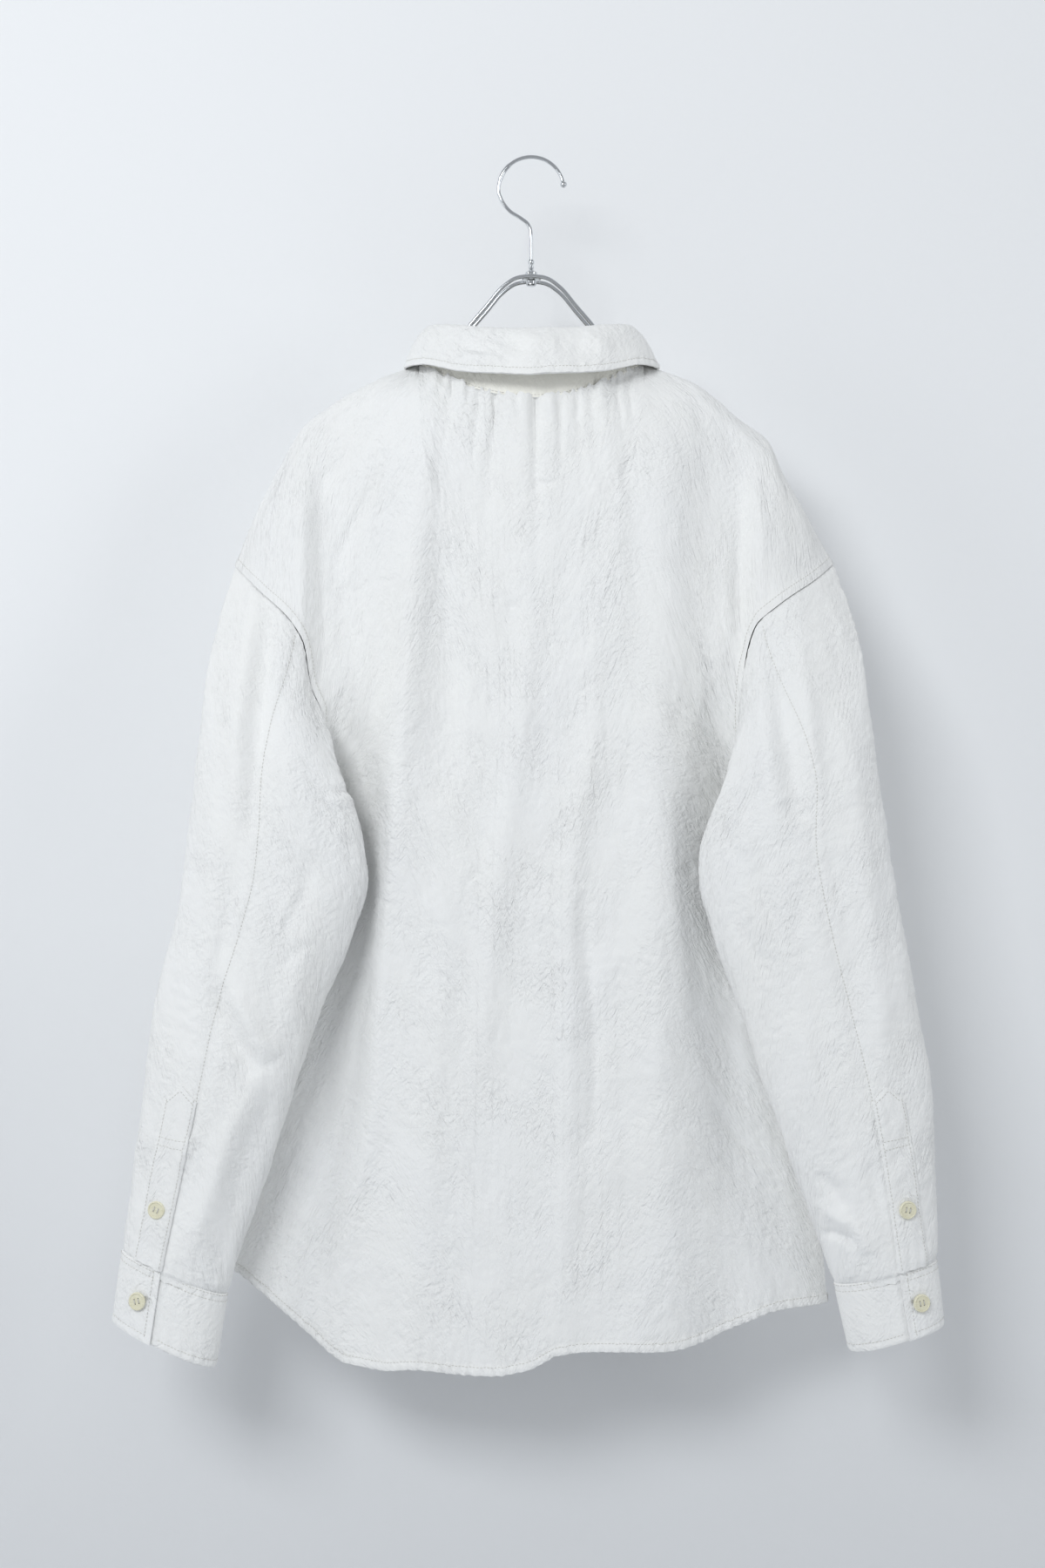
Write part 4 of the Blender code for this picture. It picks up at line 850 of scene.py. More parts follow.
def thread(name, colour):
    """Twisted sewing thread."""
    finish = Finish(name, colour, 0.6, sheen_weight=0.1)
    place = finish.node("ShaderNodeTexCoord", output=3)
    twist = finish.noise(place, (2600.0, 2600.0, 2600.0), 1.0)
    finish.bump(twist, 0.00008)
    finish.darker(twist, 0.90)
    return finish.material


def ivory(name, colour, cloudy):
    """Polished shell-like button stock with cloudy bands."""
    finish = Finish(name, colour, 0.3, coat_weight=0.35, coat_roughness=0.12)
    place = finish.node("ShaderNodeTexCoord", output=3)
    cloud = finish.noise(place, (260.0, 260.0, 700.0), 3.0, 0.6)
    finish.feed("Base Color", finish.mix(cloud, cloudy, colour))
    finish.feed("Roughness", cloud * 0.15 + 0.2)
    finish.bump(finish.noise(place, (900.0, 900.0, 900.0), 2.0), 0.00004)
    return finish.material


def plated(name, colour):
    """Bright plating with faint drawing marks and handling haze."""
    finish = Finish(name, colour, 0.12, metallic=1.0)
    place = finish.node("ShaderNodeTexCoord", output=3)
    haze = finish.noise(place, (60.0, 60.0, 60.0), 3.0)
    marks = finish.noise(place, (900.0, 900.0, 90.0), 2.0)
    finish.feed("Roughness", haze * 0.10 + 0.04)
    finish.darker(haze, 0.9)
    finish.bump(marks, 0.000003)
    return finish.material


def plain(name, colour):
    """A plain painted floor with faint patches."""
    finish = Finish(name, colour, 0.95)
    place = finish.node("ShaderNodeTexCoord", output=3)
    finish.darker(finish.noise(place, (3.0, 3.0, 3.0), 3.0), 0.985)
    return finish.material


def one_sided(name, colour):
    """A plain painted wall with painted shade that darkens it low down, in place of the top light falling
    off; it shows only its front and casts no shadow.
    """
    finish = Finish(name, colour, 0.95)
    place = finish.node("ShaderNodeTexCoord", output=3)
    patch = finish.noise(place, (2.0, 2.0, 2.0), 3.0)
    # Painted shade: the wall's colour darkens towards the floor, standing in for light that falls off
    # below the top softbox.
    height = finish.node("ShaderNodeSeparateXYZ", None, {"Vector": place}, output=2)
    finish.darker((height + 1.15) * 1.7 + patch * 0.1, 0.84)
    finish.bump(finish.noise(place, (160.0, 160.0, 160.0), 3.0), 0.0002)
    behind = finish.node("ShaderNodeNewGeometry", output=6)
    shadow = finish.node("ShaderNodeLightPath", output=1)
    clear = finish.node("ShaderNodeBsdfTransparent")
    seen = finish.node("ShaderNodeMath", {"operation": "MAXIMUM"}, {0: behind, 1: shadow})
    solid = Term(finish, finish.shader.outputs[0])
    mixed = finish.node("ShaderNodeMixShader", None, {0: seen, 1: solid, 2: clear})
    finish.feed("Surface", mixed, finish.tree.nodes["Material Output"])
    return finish.material


MADE = {}


def finish_of(kind):
    """Each finish is made once, from the colours in the sidebar."""
    if kind not in MADE:
        cloth, trim = bpy.context.scene.shirt_cloth, bpy.context.scene.shirt_trim
        if kind == "cotton":
            MADE[kind] = cotton("washed_cotton", tuple(cloth.colour), tuple(cloth.warm_colour),
                                cloth.yarn_relief, cloth.crease_relief)
        # The collar stand's cotton: a lighter, warmer copy with painted bounce light for the shade under
        # the collar.
        elif kind == "facing":
            MADE[kind] = cotton("cotton_stand_painted_light", tuple(cloth.stand_painted_light_colour),
                                tuple(cloth.warm_stand_painted_light_colour), cloth.yarn_relief,
                                cloth.crease_relief)
        elif kind == "thread":
            MADE[kind] = thread("sewing_thread", tuple(cloth.thread_colour))
        elif kind == "ivory":
            MADE[kind] = ivory("ivory_buttons", tuple(trim.button_colour), tuple(trim.cloudy_colour))
        else:
            MADE[kind] = plated("bright_wire", tuple(trim.wire_colour))
    return MADE[kind]


# ---------------------------------------------------------------- the body

SHOULDER_COLUMNS, NECK_COLUMNS, LAP_COLUMNS = 60, 60, 8
SEAM_STITCH = 0.0062  # from a body seam to its row of stitches
STITCHES = {"body": [], "left": [], "right": [], "collar": []}
BUILT = {}


def gathered(x, fallen):
    """The pleats that hang from the neck seam, in metres outwards."""
    total = np.zeros_like(x)
    for at, height, width, fade in GATHERS:
        middle = at * (1 + 1.9 * fallen)
        spread = width * (1 + 9 * fallen)
        total += height * np.exp(-(((x * 1000 - middle) / spread) ** 2)) * np.exp(-fallen / fade)
    fine = lattice_noise(x / (0.0062 * (1 + 2.5 * fallen)), fallen / 0.05, 71)
    total += fine * 1.9 * np.exp(-fallen / 0.034)
    started = 0.55 + 0.45 * ease(fallen, 0, 0.007)
    return total * 0.001 * started * ease(0.086 - np.abs(x), 0, 0.012)


def puffs(x, fallen):
    """How far the tops of the gathers stand outwards and upwards at the neck seam."""
    puff = np.maximum(1 - 3.0 * np.abs(lattice_noise(x / 0.0064, fallen * 0 + 7.7, 77)), 0)
    puff *= 0.75 + 0.5 * lattice_noise(x / 0.011, fallen * 0, 78)
    strength = np.exp(-fallen / 0.005) * ease(0.084 - np.abs(x), 0, 0.014)
    return 0.0022 * (0.2 + puff) * strength, 0.0036 * puff * strength


def relief(grid, seed, cloth, edges):
    """Crinkles and seam puckers over a panel, held flat at the seams it shares."""
    place = cloth_coordinates(grid)
    height = crinkled(place[..., 0], place[..., 1], seed) * cloth.crinkle_depth
    hold = np.ones(grid.shape[:2])
    for which in edges:
        distance = from_edge(grid, which)
        run = place[..., 1] if which in ("left", "right") else place[..., 0]
        hold *= ease(distance, 0.0, 0.006) * (0.45 + 0.55 * ease(distance, 0.002, 0.03))
        height += puckers(distance, run, seed + len(which)) * ease(distance, 0.0, 0.002)
    return height * hold


def rolled_hem(grid, normals, cloth, seed):
    """A narrow rolled hem: a raised rim with slanting puckers, turned under along its edge."""
    distance = from_edge(grid, "bottom")
    run = edge_length(grid, 1)
    width = cloth.hem_width
    rope = np.sin((run + 0.7 * distance) / 0.0075 * math.tau
                  + 4 * lattice_noise(run / 0.03, run * 0 + 3.3, seed))
    rim = ease(width - distance, -0.0012, 0.0012)
    height = rim * (0.0014 + 0.0007 * rope * (0.6 + lattice_noise(run / 0.05, run * 0, seed + 1)))
    height -= 0.0007 * np.exp(-((distance - width) / 0.0011) ** 2)
    height += puckers(distance, run, seed + 5, pitch=0.0085, depth=0.0009, reach=0.016)
    return grid + normals * height[..., None]


def turned_under(grid, normals):
    """Adds rows that fold the bottom edge to the inside."""
    depth, height = 0.0013, 0.005
    last, inward = grid[-1], -normals[-1]
    up = unit(grid[-4] - grid[-1])
    added = []
    for turn, rise in ((60, 0), (120, 0), (180, 0), (180, height)):
        a = math.radians(turn)
        lift = up * (-math.sin(a) * depth * 0.4 + rise)
        added.append(last + inward * depth * (1 - math.cos(a)) / 2 + lift)
    return np.concatenate([grid, np.array(added)], axis=0)


def outward_normals(grid, towards):
    """Normals turned so that their y goes towards the given side."""
    normals = grid_normals(grid)
    if np.sign(normals[..., 1].mean()) != np.sign(towards):
        normals = -normals
    return normals


def build_back(cloth):
    """The back: gathered into the collar stand, with a raised armhole edge and a rolled hem."""
    neck = neck_point(np.linspace(-90, 90, 2 * NECK_COLUMNS + 1))
    left, right = (shoulder_line(side, SHOULDER_COLUMNS) for side in (LEFT, RIGHT))
    top = np.vstack([left, neck[1:-1], right[::-1]])
    hem_x = np.linspace(-SIDE_SEAM[LEFT][-1][0], SIDE_SEAM[RIGHT][-1][0], len(top))
    hem_drop = BACK_HEM(hem_x)
    lip = lips(SHOULDER_COLUMNS, 2 * NECK_COLUMNS - 1, mirrored=True)
    sides = [side_line(side, ARMHOLE_BACK, 1) for side in (LEFT, RIGHT)]
    grid = panel(top, hem_x, hem_drop, *sides, back_depth, -1, lip, 1)
    grid = rounded_corners(grid, (-NECK_HALF, NECK_HALF))
    fallen = grid[0, :, 2] - grid[..., 2]
    outward, upward = puffs(grid[..., 0], fallen)
    grid[..., 1] -= (gathered(grid[..., 0], fallen) + outward) * cloth.pleat_depth
    grid[..., 2] += upward * cloth.pleat_depth
    normals = outward_normals(grid, -1)
    height = relief(grid, 100, cloth, ("left", "right"))
    height *= ease(from_edge(grid, "top"), 0.0, 0.012)
    corner = np.exp(-(((np.abs(grid[..., 0]) - NECK_HALF) / 0.012) ** 2) - fallen / 0.03)
    height *= 1 - 0.8 * corner
    for which in ("left", "right"):
        distance = from_edge(grid, which)
        arm = ease(0.55 - panel_rows(1)[:, None], 0.08, 0.10)
        height += arm * 0.0010 * ease(0.0078 - distance, 0, 0.0016) * ease(distance, -0.0006, 0.0006)
    grid = grid + normals * height[..., None]
    normals = outward_normals(grid, -1)
    grid = rolled_hem(grid, normals, cloth, 31)
    normals = outward_normals(grid, -1)
    share = (len(ARM_FINE) - 1) / (len(grid) - 1)
    for which in ("left", "right"):
        stitch_row(STITCHES["body"], *inset_line(grid, normals, which, SEAM_STITCH, 0.01, share - 0.01))
    stitch_row(STITCHES["body"], *inset_line(grid, normals, "bottom", cloth.hem_width, 0.01, 0.99))
    BUILT["back"] = (grid, normals)
    piece = sheet_piece("back_cloth", turned_under(grid, normals), finish_of("cotton"))
    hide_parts("back")


def build_front(side, name, cloth):
    """One front, which laps the other in the middle."""
    shoulder = shoulder_line(side, SHOULDER_COLUMNS)
    neck = neck_point(side * np.linspace(90, 180, NECK_COLUMNS + 1))
    lap_out = np.linspace(0, FRONT_LAP, LAP_COLUMNS + 1)[1:]
    lap_turns = np.degrees(np.arcsin(lap_out / NECK_HALF))
    lap = neck_point(side * (180 + lap_turns))
    top = np.vstack([shoulder, neck[1:], lap])
    edge = lap[-1]
    seam_x = side * SIDE_SEAM[side][-1][0]
    hem_x = np.concatenate([np.linspace(seam_x, 0, len(top) - LAP_COLUMNS), -side * lap_out])
    outer = side_line(side, ARMHOLE_FRONT, 2)
    rows = panel_rows(2)
    low = -HEM(hem_x[-1])[1]
    inner = np.column_stack([np.full(len(rows), edge[0]), np.zeros(len(rows)),
                             edge[2] + (low - edge[2]) * rows])
    settled = 1 - np.exp(-(edge[2] - inner[:, 2]) / 0.030)
    depth = front_depth(side)
    full = depth(inner[:, 0], -inner[:, 2])
    inner[:, 1] = edge[1] + (full - edge[1]) * settled
    lip = lips(SHOULDER_COLUMNS, NECK_COLUMNS + LAP_COLUMNS)
    grid = panel(top, hem_x, HEM(hem_x)[:, 1], outer, inner, depth, 1, lip, 2)
    grid = rounded_corners(grid, (side * NECK_HALF,))
    normals = outward_normals(grid, 1)
    height = relief(grid, 200 + side * 20, cloth, ("left",))
    height *= ease(from_edge(grid, "top"), 0.0, 0.010) * ease(np.abs(grid[..., 0]), 0.012, 0.030)
    grid = grid + normals * height[..., None]
    if side == LEFT:
        grid[..., 1] += 0.0022 * (1 - ease(-grid[..., 0], 0.016, 0.055))
    normals = outward_normals(grid, 1)
    grid = rolled_hem(grid, normals, cloth, 37 + side)
    normals = outward_normals(grid, 1)
    share = (len(panel_lines(2)[0]) - 1) / (len(grid) - 1)
    stitch_row(STITCHES["body"], *inset_line(grid, normals, "left", SEAM_STITCH, 0.01, share - 0.01))
    stitch_row(STITCHES["body"], *inset_line(grid, normals, "bottom", cloth.hem_width, 0.01, 0.97))
    BUILT[f"front_{name}"] = (grid, normals)
    piece = sheet_piece(f"front_{name}_cloth", turned_under(grid, normals), finish_of("cotton"))
    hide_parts(f"front_{name}")


# ---------------------------------------------------------------- the sleeves

SLEEVE_COLUMNS, SLEEVE_ROWS, SLEEVE_CROWD = 150, 290, 1.15


def sleeve_section(side, turn, drop):
    """Points of the hanging sleeve: turn 0 is its inner edge, 90 the side facing back."""
    a = np.radians(turn)
    inner, outer = np.moveaxis(SLEEVE_EDGES[side](drop), -1, 0)
    middle, half = np.moveaxis(SLEEVE_DEPTH(drop), -1, 0)
    out = (inner + outer) / 2 - (outer - inner) / 2 * np.cos(a)
    return np.stack([side * out, middle - half * np.sin(a), -drop], axis=-1)


def sleeve_end_drop(side, turn):
    """How far below the hook the sleeve meets its cuff."""
    inner, outer = CUFF_EDGES[side][0][1], CUFF_EDGES[side][0][3]
    return (inner + outer) / 2 + (inner - outer) / 2 * np.cos(np.radians(turn))


def armhole_ring(side, turn):
    """Points of the armhole seam at the sleeve's turns."""
    shares = np.concatenate([ARM_ROWS[::-1], ARM_ROWS[1:]])
    share = np.interp(turn, SLEEVE_TURN, shares)
    behind = along(placed(side, ARMHOLE_BACK[side]), share)
    before = along(placed(side, ARMHOLE_FRONT[side]), share)
    return np.where((turn <= 180)[:, None], behind, before)


def sleeve_rows(side, turn, drop):
    """Fractional rows of the sleeve's grid at the given turns and drops."""
    start = -armhole_ring(side, turn)[:, 2]
    share = np.clip((drop - start) / (sleeve_end_drop(side, turn) - start), 0, 1)
    return share ** (1 / SLEEVE_CROWD) * SLEEVE_ROWS


def placket_turn(side, drop):
    """How far round the sleeve the placket reaches from the slit, at its sewn width."""
    inner, outer = np.moveaxis(SLEEVE_EDGES[side](drop), -1, 0)
    half = SLEEVE_DEPTH(drop)[..., 1]
    a = math.radians(SLIT_TURN + 14)
    arc = np.hypot((outer - inner) / 2 * math.sin(a), half * math.cos(a))
    return np.degrees(PLACKET_WIDTH / arc)


def sleeve_relief(side, turn, grid, from_seam, cloth):
    """Creases, crinkles, seam ridges and puckers over a sleeve, in metres outwards."""
    facing = ease(np.sin(np.radians(turn)), -0.25, 0.20)
    x, low = grid[..., 0], -grid[..., 2]
    height = creased(SLEEVE_CREASES[side], x, low) * facing
    height += creased(SLEEVE_FRONT_CREASES, np.abs(x), low) * (1 - facing)
    height *= cloth.fold_depth
    place = cloth_coordinates(grid)
    around, down = place[..., 0], place[..., 1]
    crumple = crinkled(around, down, 300 + 40 * side) * cloth.crinkle_depth
    top, bottom = from_edge(grid, "top"), from_edge(grid, "bottom")
    beside = ease(np.abs(from_seam), 0.001, 0.012)
    height += crumple * (0.35 + 0.65 * beside)
    wrapped = np.abs(np.sin(math.pi * (turn - turn[0]) / 360))
    height = height * (0.3 + 0.7 * ease(wrapped, 0, 0.12))
    height *= ease(top, 0, 0.007) * ease(bottom, 0, 0.007)
    height += puckers(top, around, 41, pitch=0.008, depth=0.0008) * ease(top, 0, 0.002)
    height -= 0.0005 * np.exp(-((top / 0.0011) ** 2)) * facing
    wrist = puckers(bottom, around, 43, pitch=0.009, depth=0.0009, reach=0.016)
    height += wrist * ease(bottom, 0, 0.003)
    ridge = ease(0.0065 - np.abs(from_seam - 0.0036), 0, 0.003)
    height += 0.0005 * ridge - 0.0008 * np.exp(-((from_seam / 0.0011) ** 2))
    height += puckers(np.abs(from_seam), down, 47, pitch=0.009, depth=0.0005, reach=0.007)
    height[:, -1] = height[:, 0] = (height[:, 0] + height[:, -1]) / 2
    return height


def build_sleeve(side, name, cloth):
    """One sleeve, closed by its back seam and tucked into its cuff."""
    turn = np.linspace(SLEEVE_TURN[0], SLEEVE_TURN[-1], SLEEVE_COLUMNS + 1)
    ring = armhole_ring(side, turn)
    rows = np.linspace(0, 1, SLEEVE_ROWS + 1)[:, None] ** SLEEVE_CROWD
    drop = -ring[:, 2] + (sleeve_end_drop(side, turn) + ring[:, 2]) * rows
    grid = sleeve_section(side, np.broadcast_to(turn, drop.shape), drop)
    fallen = drop - drop[0]
    under = np.abs(np.cos(np.radians(turn + 38) / 2))
    behind = np.where(turn > 180, ease(turn, 180, 215), ease(-turn, 0, 30))
    held = behind * np.maximum(UNDERARM_DROP - drop[0], 0)
    reach = 0.13 - 0.085 * under
    away = ring - grid[0]
    grid[..., 0] += away[:, 0] * (1 - ease(fallen, held, held + 0.17 - 0.08 * under))
    grid[..., 1] += away[:, 1] * (1 - ease(fallen, -0.01, reach)) / (1 - ease(0, -0.01, reach))
    normals = -side * grid_normals(grid, closed=True)
    around = cloth_coordinates(grid)[..., 0]
    seam = (SLIT_TURN - turn[0]) / (turn[-1] - turn[0]) * SLEEVE_COLUMNS
    from_seam = around - sample_columns(around, seam)
    height = sleeve_relief(side, turn, grid, from_seam, cloth)
    grid = grid + normals * height[..., None]
    normals = -side * grid_normals(grid, closed=True)
    BUILT[f"sleeve_{name}"] = (grid, normals)
    tucked = grid[-1] - normals[-1] * 0.0004
    for sunk, length in ((0.0012, 0.0015), (0.0017, 0.0035), (0.0019, 0.0070)):
        lower = tucked - normals[-1] * sunk
        lower[:, 2] -= length
        grid = np.concatenate([grid, lower[None]], axis=0)
    rows_down = np.linspace(0.02, 0.995, 600) * SLEEVE_ROWS
    line_column = seam_columns(from_seam, 0.0016, rows_down)
    line = sample(grid, rows_down, line_column)
    stitch_row(STITCHES[name], line, unit(sample(normals, rows_down, line_column)))
    piece = sheet_piece(f"sleeve_{name}_cloth", grid, finish_of("cotton"), flip=side == LEFT)
    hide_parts(f"sleeve_{name}")


def sample_columns(values, column):
    """The values of every row at one fractional column."""
    low = int(column)
    part = column - low
    return (values[:, low] * (1 - part) + values[:, low + 1] * part)[:, None]


def seam_columns(from_seam, distance, rows):
    """The fractional column at a distance beside the back seam, at each row."""
    order = np.arange(from_seam.shape[1])
    return np.array([np.interp(distance, from_seam[int(r)], order) for r in rows])


def build_placket(side, name, cloth):
    """The pointed strip that binds the slit, with its box of stitches."""
    columns, count = 17, 76
    shares = np.linspace(0, 1, columns)
    low = sleeve_end_drop(side, SLIT_TURN + 14) - 0.0008
    point = PLACKET_POINT * (1 - np.abs(2 * shares - 1))
    down = np.linspace(0, 1, count)[:, None]
    top = PLACKET_TOP - point
    wide = placket_turn(side, np.linspace(PLACKET_TOP, low, count))
    drops = top + (low - top) * down
    turns = SLIT_TURN + 1 + shares * wide[:, None]
    end = sleeve_end_drop(side, turns) - 0.0008
    drops = np.minimum(drops, end)
    drops[-1] = end[-1]

    def at(lift):
        grid, normals = BUILT[f"sleeve_{name}"]
        row = sleeve_rows(side, turns.ravel(), drops.ravel())
        share = (turns.ravel() - SLEEVE_TURN[0]) / (SLEEVE_TURN[-1] - SLEEVE_TURN[0])
        column = share * SLEEVE_COLUMNS
        points, up = sample(grid, row, column), unit(sample(normals, row, column))
        lifted = points + up * np.broadcast_to(lift, turns.shape).reshape(-1, 1)
        return lifted.reshape(*turns.shape, 3)

    near = np.minimum(np.minimum(shares, 1 - shares)[None, :] * PLACKET_WIDTH,
                      (drops - top) * np.ones_like(turns))
    bulge = 0.0013 + 0.0007 * ease(near, 0, 0.003)
    bulge = bulge + 0.0005 * lattice_noise(drops / 0.013, shares * 1.3 + 0 * drops, 83 + side)
    outer = at(bulge)
    inner = at(0.0002)
    normals = grid_normals(outer)
    normals = normals * np.sign(np.sum(normals * (outer - inner)))
    BUILT[f"placket_{name}"] = (outer, normals)
    piece = shell_piece(f"sleeve_placket_{name}_cloth", outer, inner, finish_of("cotton"))
    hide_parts(f"sleeve_placket_{name}")
    across = np.linspace(0.09, 0.91, 12)
    start = np.interp(across, shares, top)
    lines = [(np.arange(count), np.full(count, share)) for share in (0.09, 0.91)]
    lines.append((np.full(12, 2.0), across))
    for level in (0.030, 0.036):
        fallen = PLACKET_TOP + level - 0.004 * across - start
        lines.append((fallen / (low - start) * (count - 1), across))
    for row, share in lines:
        column = share * (columns - 1)
        stitch_row(STITCHES[name], sample(outer, row, column), unit(sample(normals, row, column)))


def cuff_point(side, turn, share, lift):
    """Points of the cuff: share runs from its top edge to its bottom one."""
    a = np.radians(turn)
    top, bottom = (np.array(edge) for edge in CUFF_EDGES[side])
    edges = top + (bottom - top) * np.asarray(share)[..., None]
    inner, inner_drop, outer, outer_drop = np.moveaxis(edges, -1, 0)
    half = CUFF_DEPTH[0] + (CUFF_DEPTH[1] - CUFF_DEPTH[0]) * share
    out = (inner + outer) / 2 - ((outer - inner) / 2 + lift) * np.cos(a)
    drop = (inner_drop + outer_drop) / 2 + (inner_drop - outer_drop) / 2 * np.cos(a)
    y = SLEEVE_DEPTH(0.88)[0] - (half + lift) * np.sin(a)
    return np.stack([side * out, y, -drop], axis=-1)


def build_cuff(side, name, cloth):
    """A stiffened band that laps under itself at the slit, stitched round its edges."""
    girth, depth = 0.033, 0.055  # length for each radian round the cuff, and its depth
    turns = SLIT_TURN + np.concatenate([np.linspace(0, 360, 181),
                                        360 + np.linspace(0, CUFF_LAP_TURN, 18)[1:]])
    shares = np.concatenate([[0, 0.012, 0.03], np.linspace(0.06, 0.94, 22), [0.97, 0.988, 1]])
    tuck = -0.0027 * ease(turns - SLIT_TURN, 300, 352)
    turn, share = np.meshgrid(turns, shares)
    run = np.radians(turn) * girth
    down = share * depth
    wave = crinkled(run, down, 500 + side * 7) * 0.35 * cloth.crinkle_depth
    edge = np.minimum(np.minimum(down, depth - down), np.radians(turn - SLIT_TURN) * girth + 0.002)
    welt = 0.0004 * ease(edge, 0.0, 0.0015) - 0.00045 * np.exp(-((edge - 0.0055) / 0.0012) ** 2)
    wave += puckers(np.abs(edge - 0.0055), run, 61 + side, pitch=0.007, depth=0.0005, reach=0.005)
    wave += welt
    wave *= ease(np.minimum(share, 1 - share), 0, 0.02) * 0.9 + 0.1
    outer = cuff_point(side, turn, share, tuck + wave)
    inner = cuff_point(side, turn, share, tuck - 0.0018 + wave * 0.6)
    for face in (outer, inner):
        face[0, :, 2] -= 0.0004
    normals = grid_normals(outer)
    normals = normals * np.sign(np.sum(normals * (outer - outer.mean(axis=(0, 1)))))
    BUILT[f"cuff_{name}"] = (outer, normals)
    piece = shell_piece(f"cuff_{name}_cloth", outer, inner, finish_of("cotton"), flip=side == RIGHT)
    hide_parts(f"cuff_{name}")
    store = STITCHES[name]
    for which, distance in (("top", 0.0016), ("top", 0.0062), ("bottom", 0.0058)):
        stitch_row(store, *inset_line(outer, normals, which, distance, 0.015, 0.90))
    stitch_row(store, *inset_line(outer, normals, "left", 0.0055, 0.05, 0.95))


# ---------------------------------------------------------------- collar and front band


def neck_seam(points):
    """Along the neck: the wall lies level, towards the neck's middle."""
    into = -points.copy()
    into[..., 2] = 0
    return unit(into)


COLLAR_CREASES = (
    (-1.6, 6, 0, ((-56, 150), (-44, 157), (-30, 160))),
    (1.5, 5, 0, ((-52, 160), (-36, 166), (-22, 168))),
    (-1.3, 5, 0, ((-24, 148), (-12, 156), (-4, 162))),
    (1.2, 6, 0, ((-10, 148), (4, 152), (20, 150))),
    (-1.0, 6, 0, ((18, 158), (34, 160), (50, 156))),
    (1.2, 6, 0, ((40, 148), (52, 152), (62, 156))),
)


def build_stand(cloth):
    """The stiffened band round the neck, lapped at the front."""
    lap = math.degrees(math.asin(FRONT_LAP / NECK_HALF))
    turns = np.linspace(-180 - lap, 180 + lap, 261)
    low, high = neck_point(turns), fold_point(turns)
    high[:, 2] -= 0.0034
    outward = -neck_seam(low)
    under = np.where(turns > 0, ease(turns, 150, 172), 0)[:, None]
    rows = np.linspace(0, 1, 12)[:, None, None]
    run = np.broadcast_to(turns * 0.0012, (12, len(turns)))
    wave = crinkled(run, np.broadcast_to(rows[..., 0] * 0.05, run.shape), 610) * 0.5
    wave += puckers(rows[..., 0] * 0.05 + 0 * run, run, 63, pitch=0.007, depth=0.0006, reach=0.008)
    grid = (low - outward * under * 0.0027 + (high - low) * rows
            + (0.0008 * np.sin(math.pi * rows) + wave[..., None] * cloth.crinkle_depth) * outward)
    grid[0, :, 2] += 0.0004
    # The stand's finish carries painted light: a lighter, warmer cotton that stands in for light bounced
    # into the shade under the collar.
    stand = shell_piece("collar_stand_cloth", grid, grid - outward * 0.0016, finish_of("facing"),
                        flip=True)
    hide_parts("collar_stand")
    normals = np.broadcast_to(outward, grid.shape)
    stitch_row(STITCHES["collar"], *inset_line(grid, normals, "top", 0.0018, 0.01, 0.99))


def build_fall(cloth):
    """The part of the collar that turns down over the stand, stitched round its edges."""
    turns = np.linspace(-169, 169, 281)
    size = np.abs(turns)
    edge_x, edge_y, edge_drop = np.moveaxis(FALL_EDGE(size), -1, 0)
    edge = np.column_stack([np.sign(turns) * edge_x, edge_y, -edge_drop])
    fold = fold_point(np.sign(turns) * FALL_FOLD(size))
    outward = -neck_seam(fold)
    shares = np.linspace(0, 1, 40)[:, None, None] ** 1.15
    roll = (0.0055 * np.sin(math.pi * shares ** 0.6)) * outward
    lift = 0.0035 * np.sin(math.pi * shares ** 0.6) * np.array([0, 0, 1.0])
    grid = fold - outward * 0.0008 + (edge - fold) * shares + roll + lift
    grid[0] = fold - outward * 0.0008
    normals = unit(grid_normals(grid))
    normals = normals * np.sign(np.sum(normals[5:] * outward))
    place = cloth_coordinates(grid)
    height = crinkled(place[..., 0], place[..., 1], 640) * 0.9 * cloth.crinkle_depth
    height += creased(COLLAR_CREASES, grid[..., 0], -grid[..., 2]) * COLLAR_FOLDS * (grid[..., 1] < 0)
    ends = np.minimum(from_edge(grid, "left"), from_edge(grid, "right"))
    rim = np.minimum(from_edge(grid, "bottom"), ends)
    height += puckers(np.abs(rim - 0.0055), place[..., 0], 65, 0.0085, 0.0005, 0.005)
    height += 0.0004 * ease(rim, 0, 0.002) - 0.0005 * np.exp(-((rim - 0.0055) / 0.0012) ** 2)
    height *= ease(from_edge(grid, "top"), 0, 0.008)
    outer = grid + normals * height[..., None]
    inner = grid - normals * 0.0012 + normals * height[..., None] * 0.5
    inner[0] = outer[0] + np.array([0, 0, -0.0010])
    normals = unit(grid_normals(outer)) * np.sign(np.sum(grid_normals(outer)[5:] * outward))
    fall = shell_piece("collar_fall_cloth", outer, inner, finish_of("cotton"), flip=True)
    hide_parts("collar_fall")
    stitch_row(STITCHES["collar"], *inset_line(outer, normals, "bottom", 0.0055, 0.0, 1.0))
    for which in ("left", "right"):
        stitch_row(STITCHES["collar"], *inset_line(outer, normals, which, 0.0055, 0.08, 0.92))


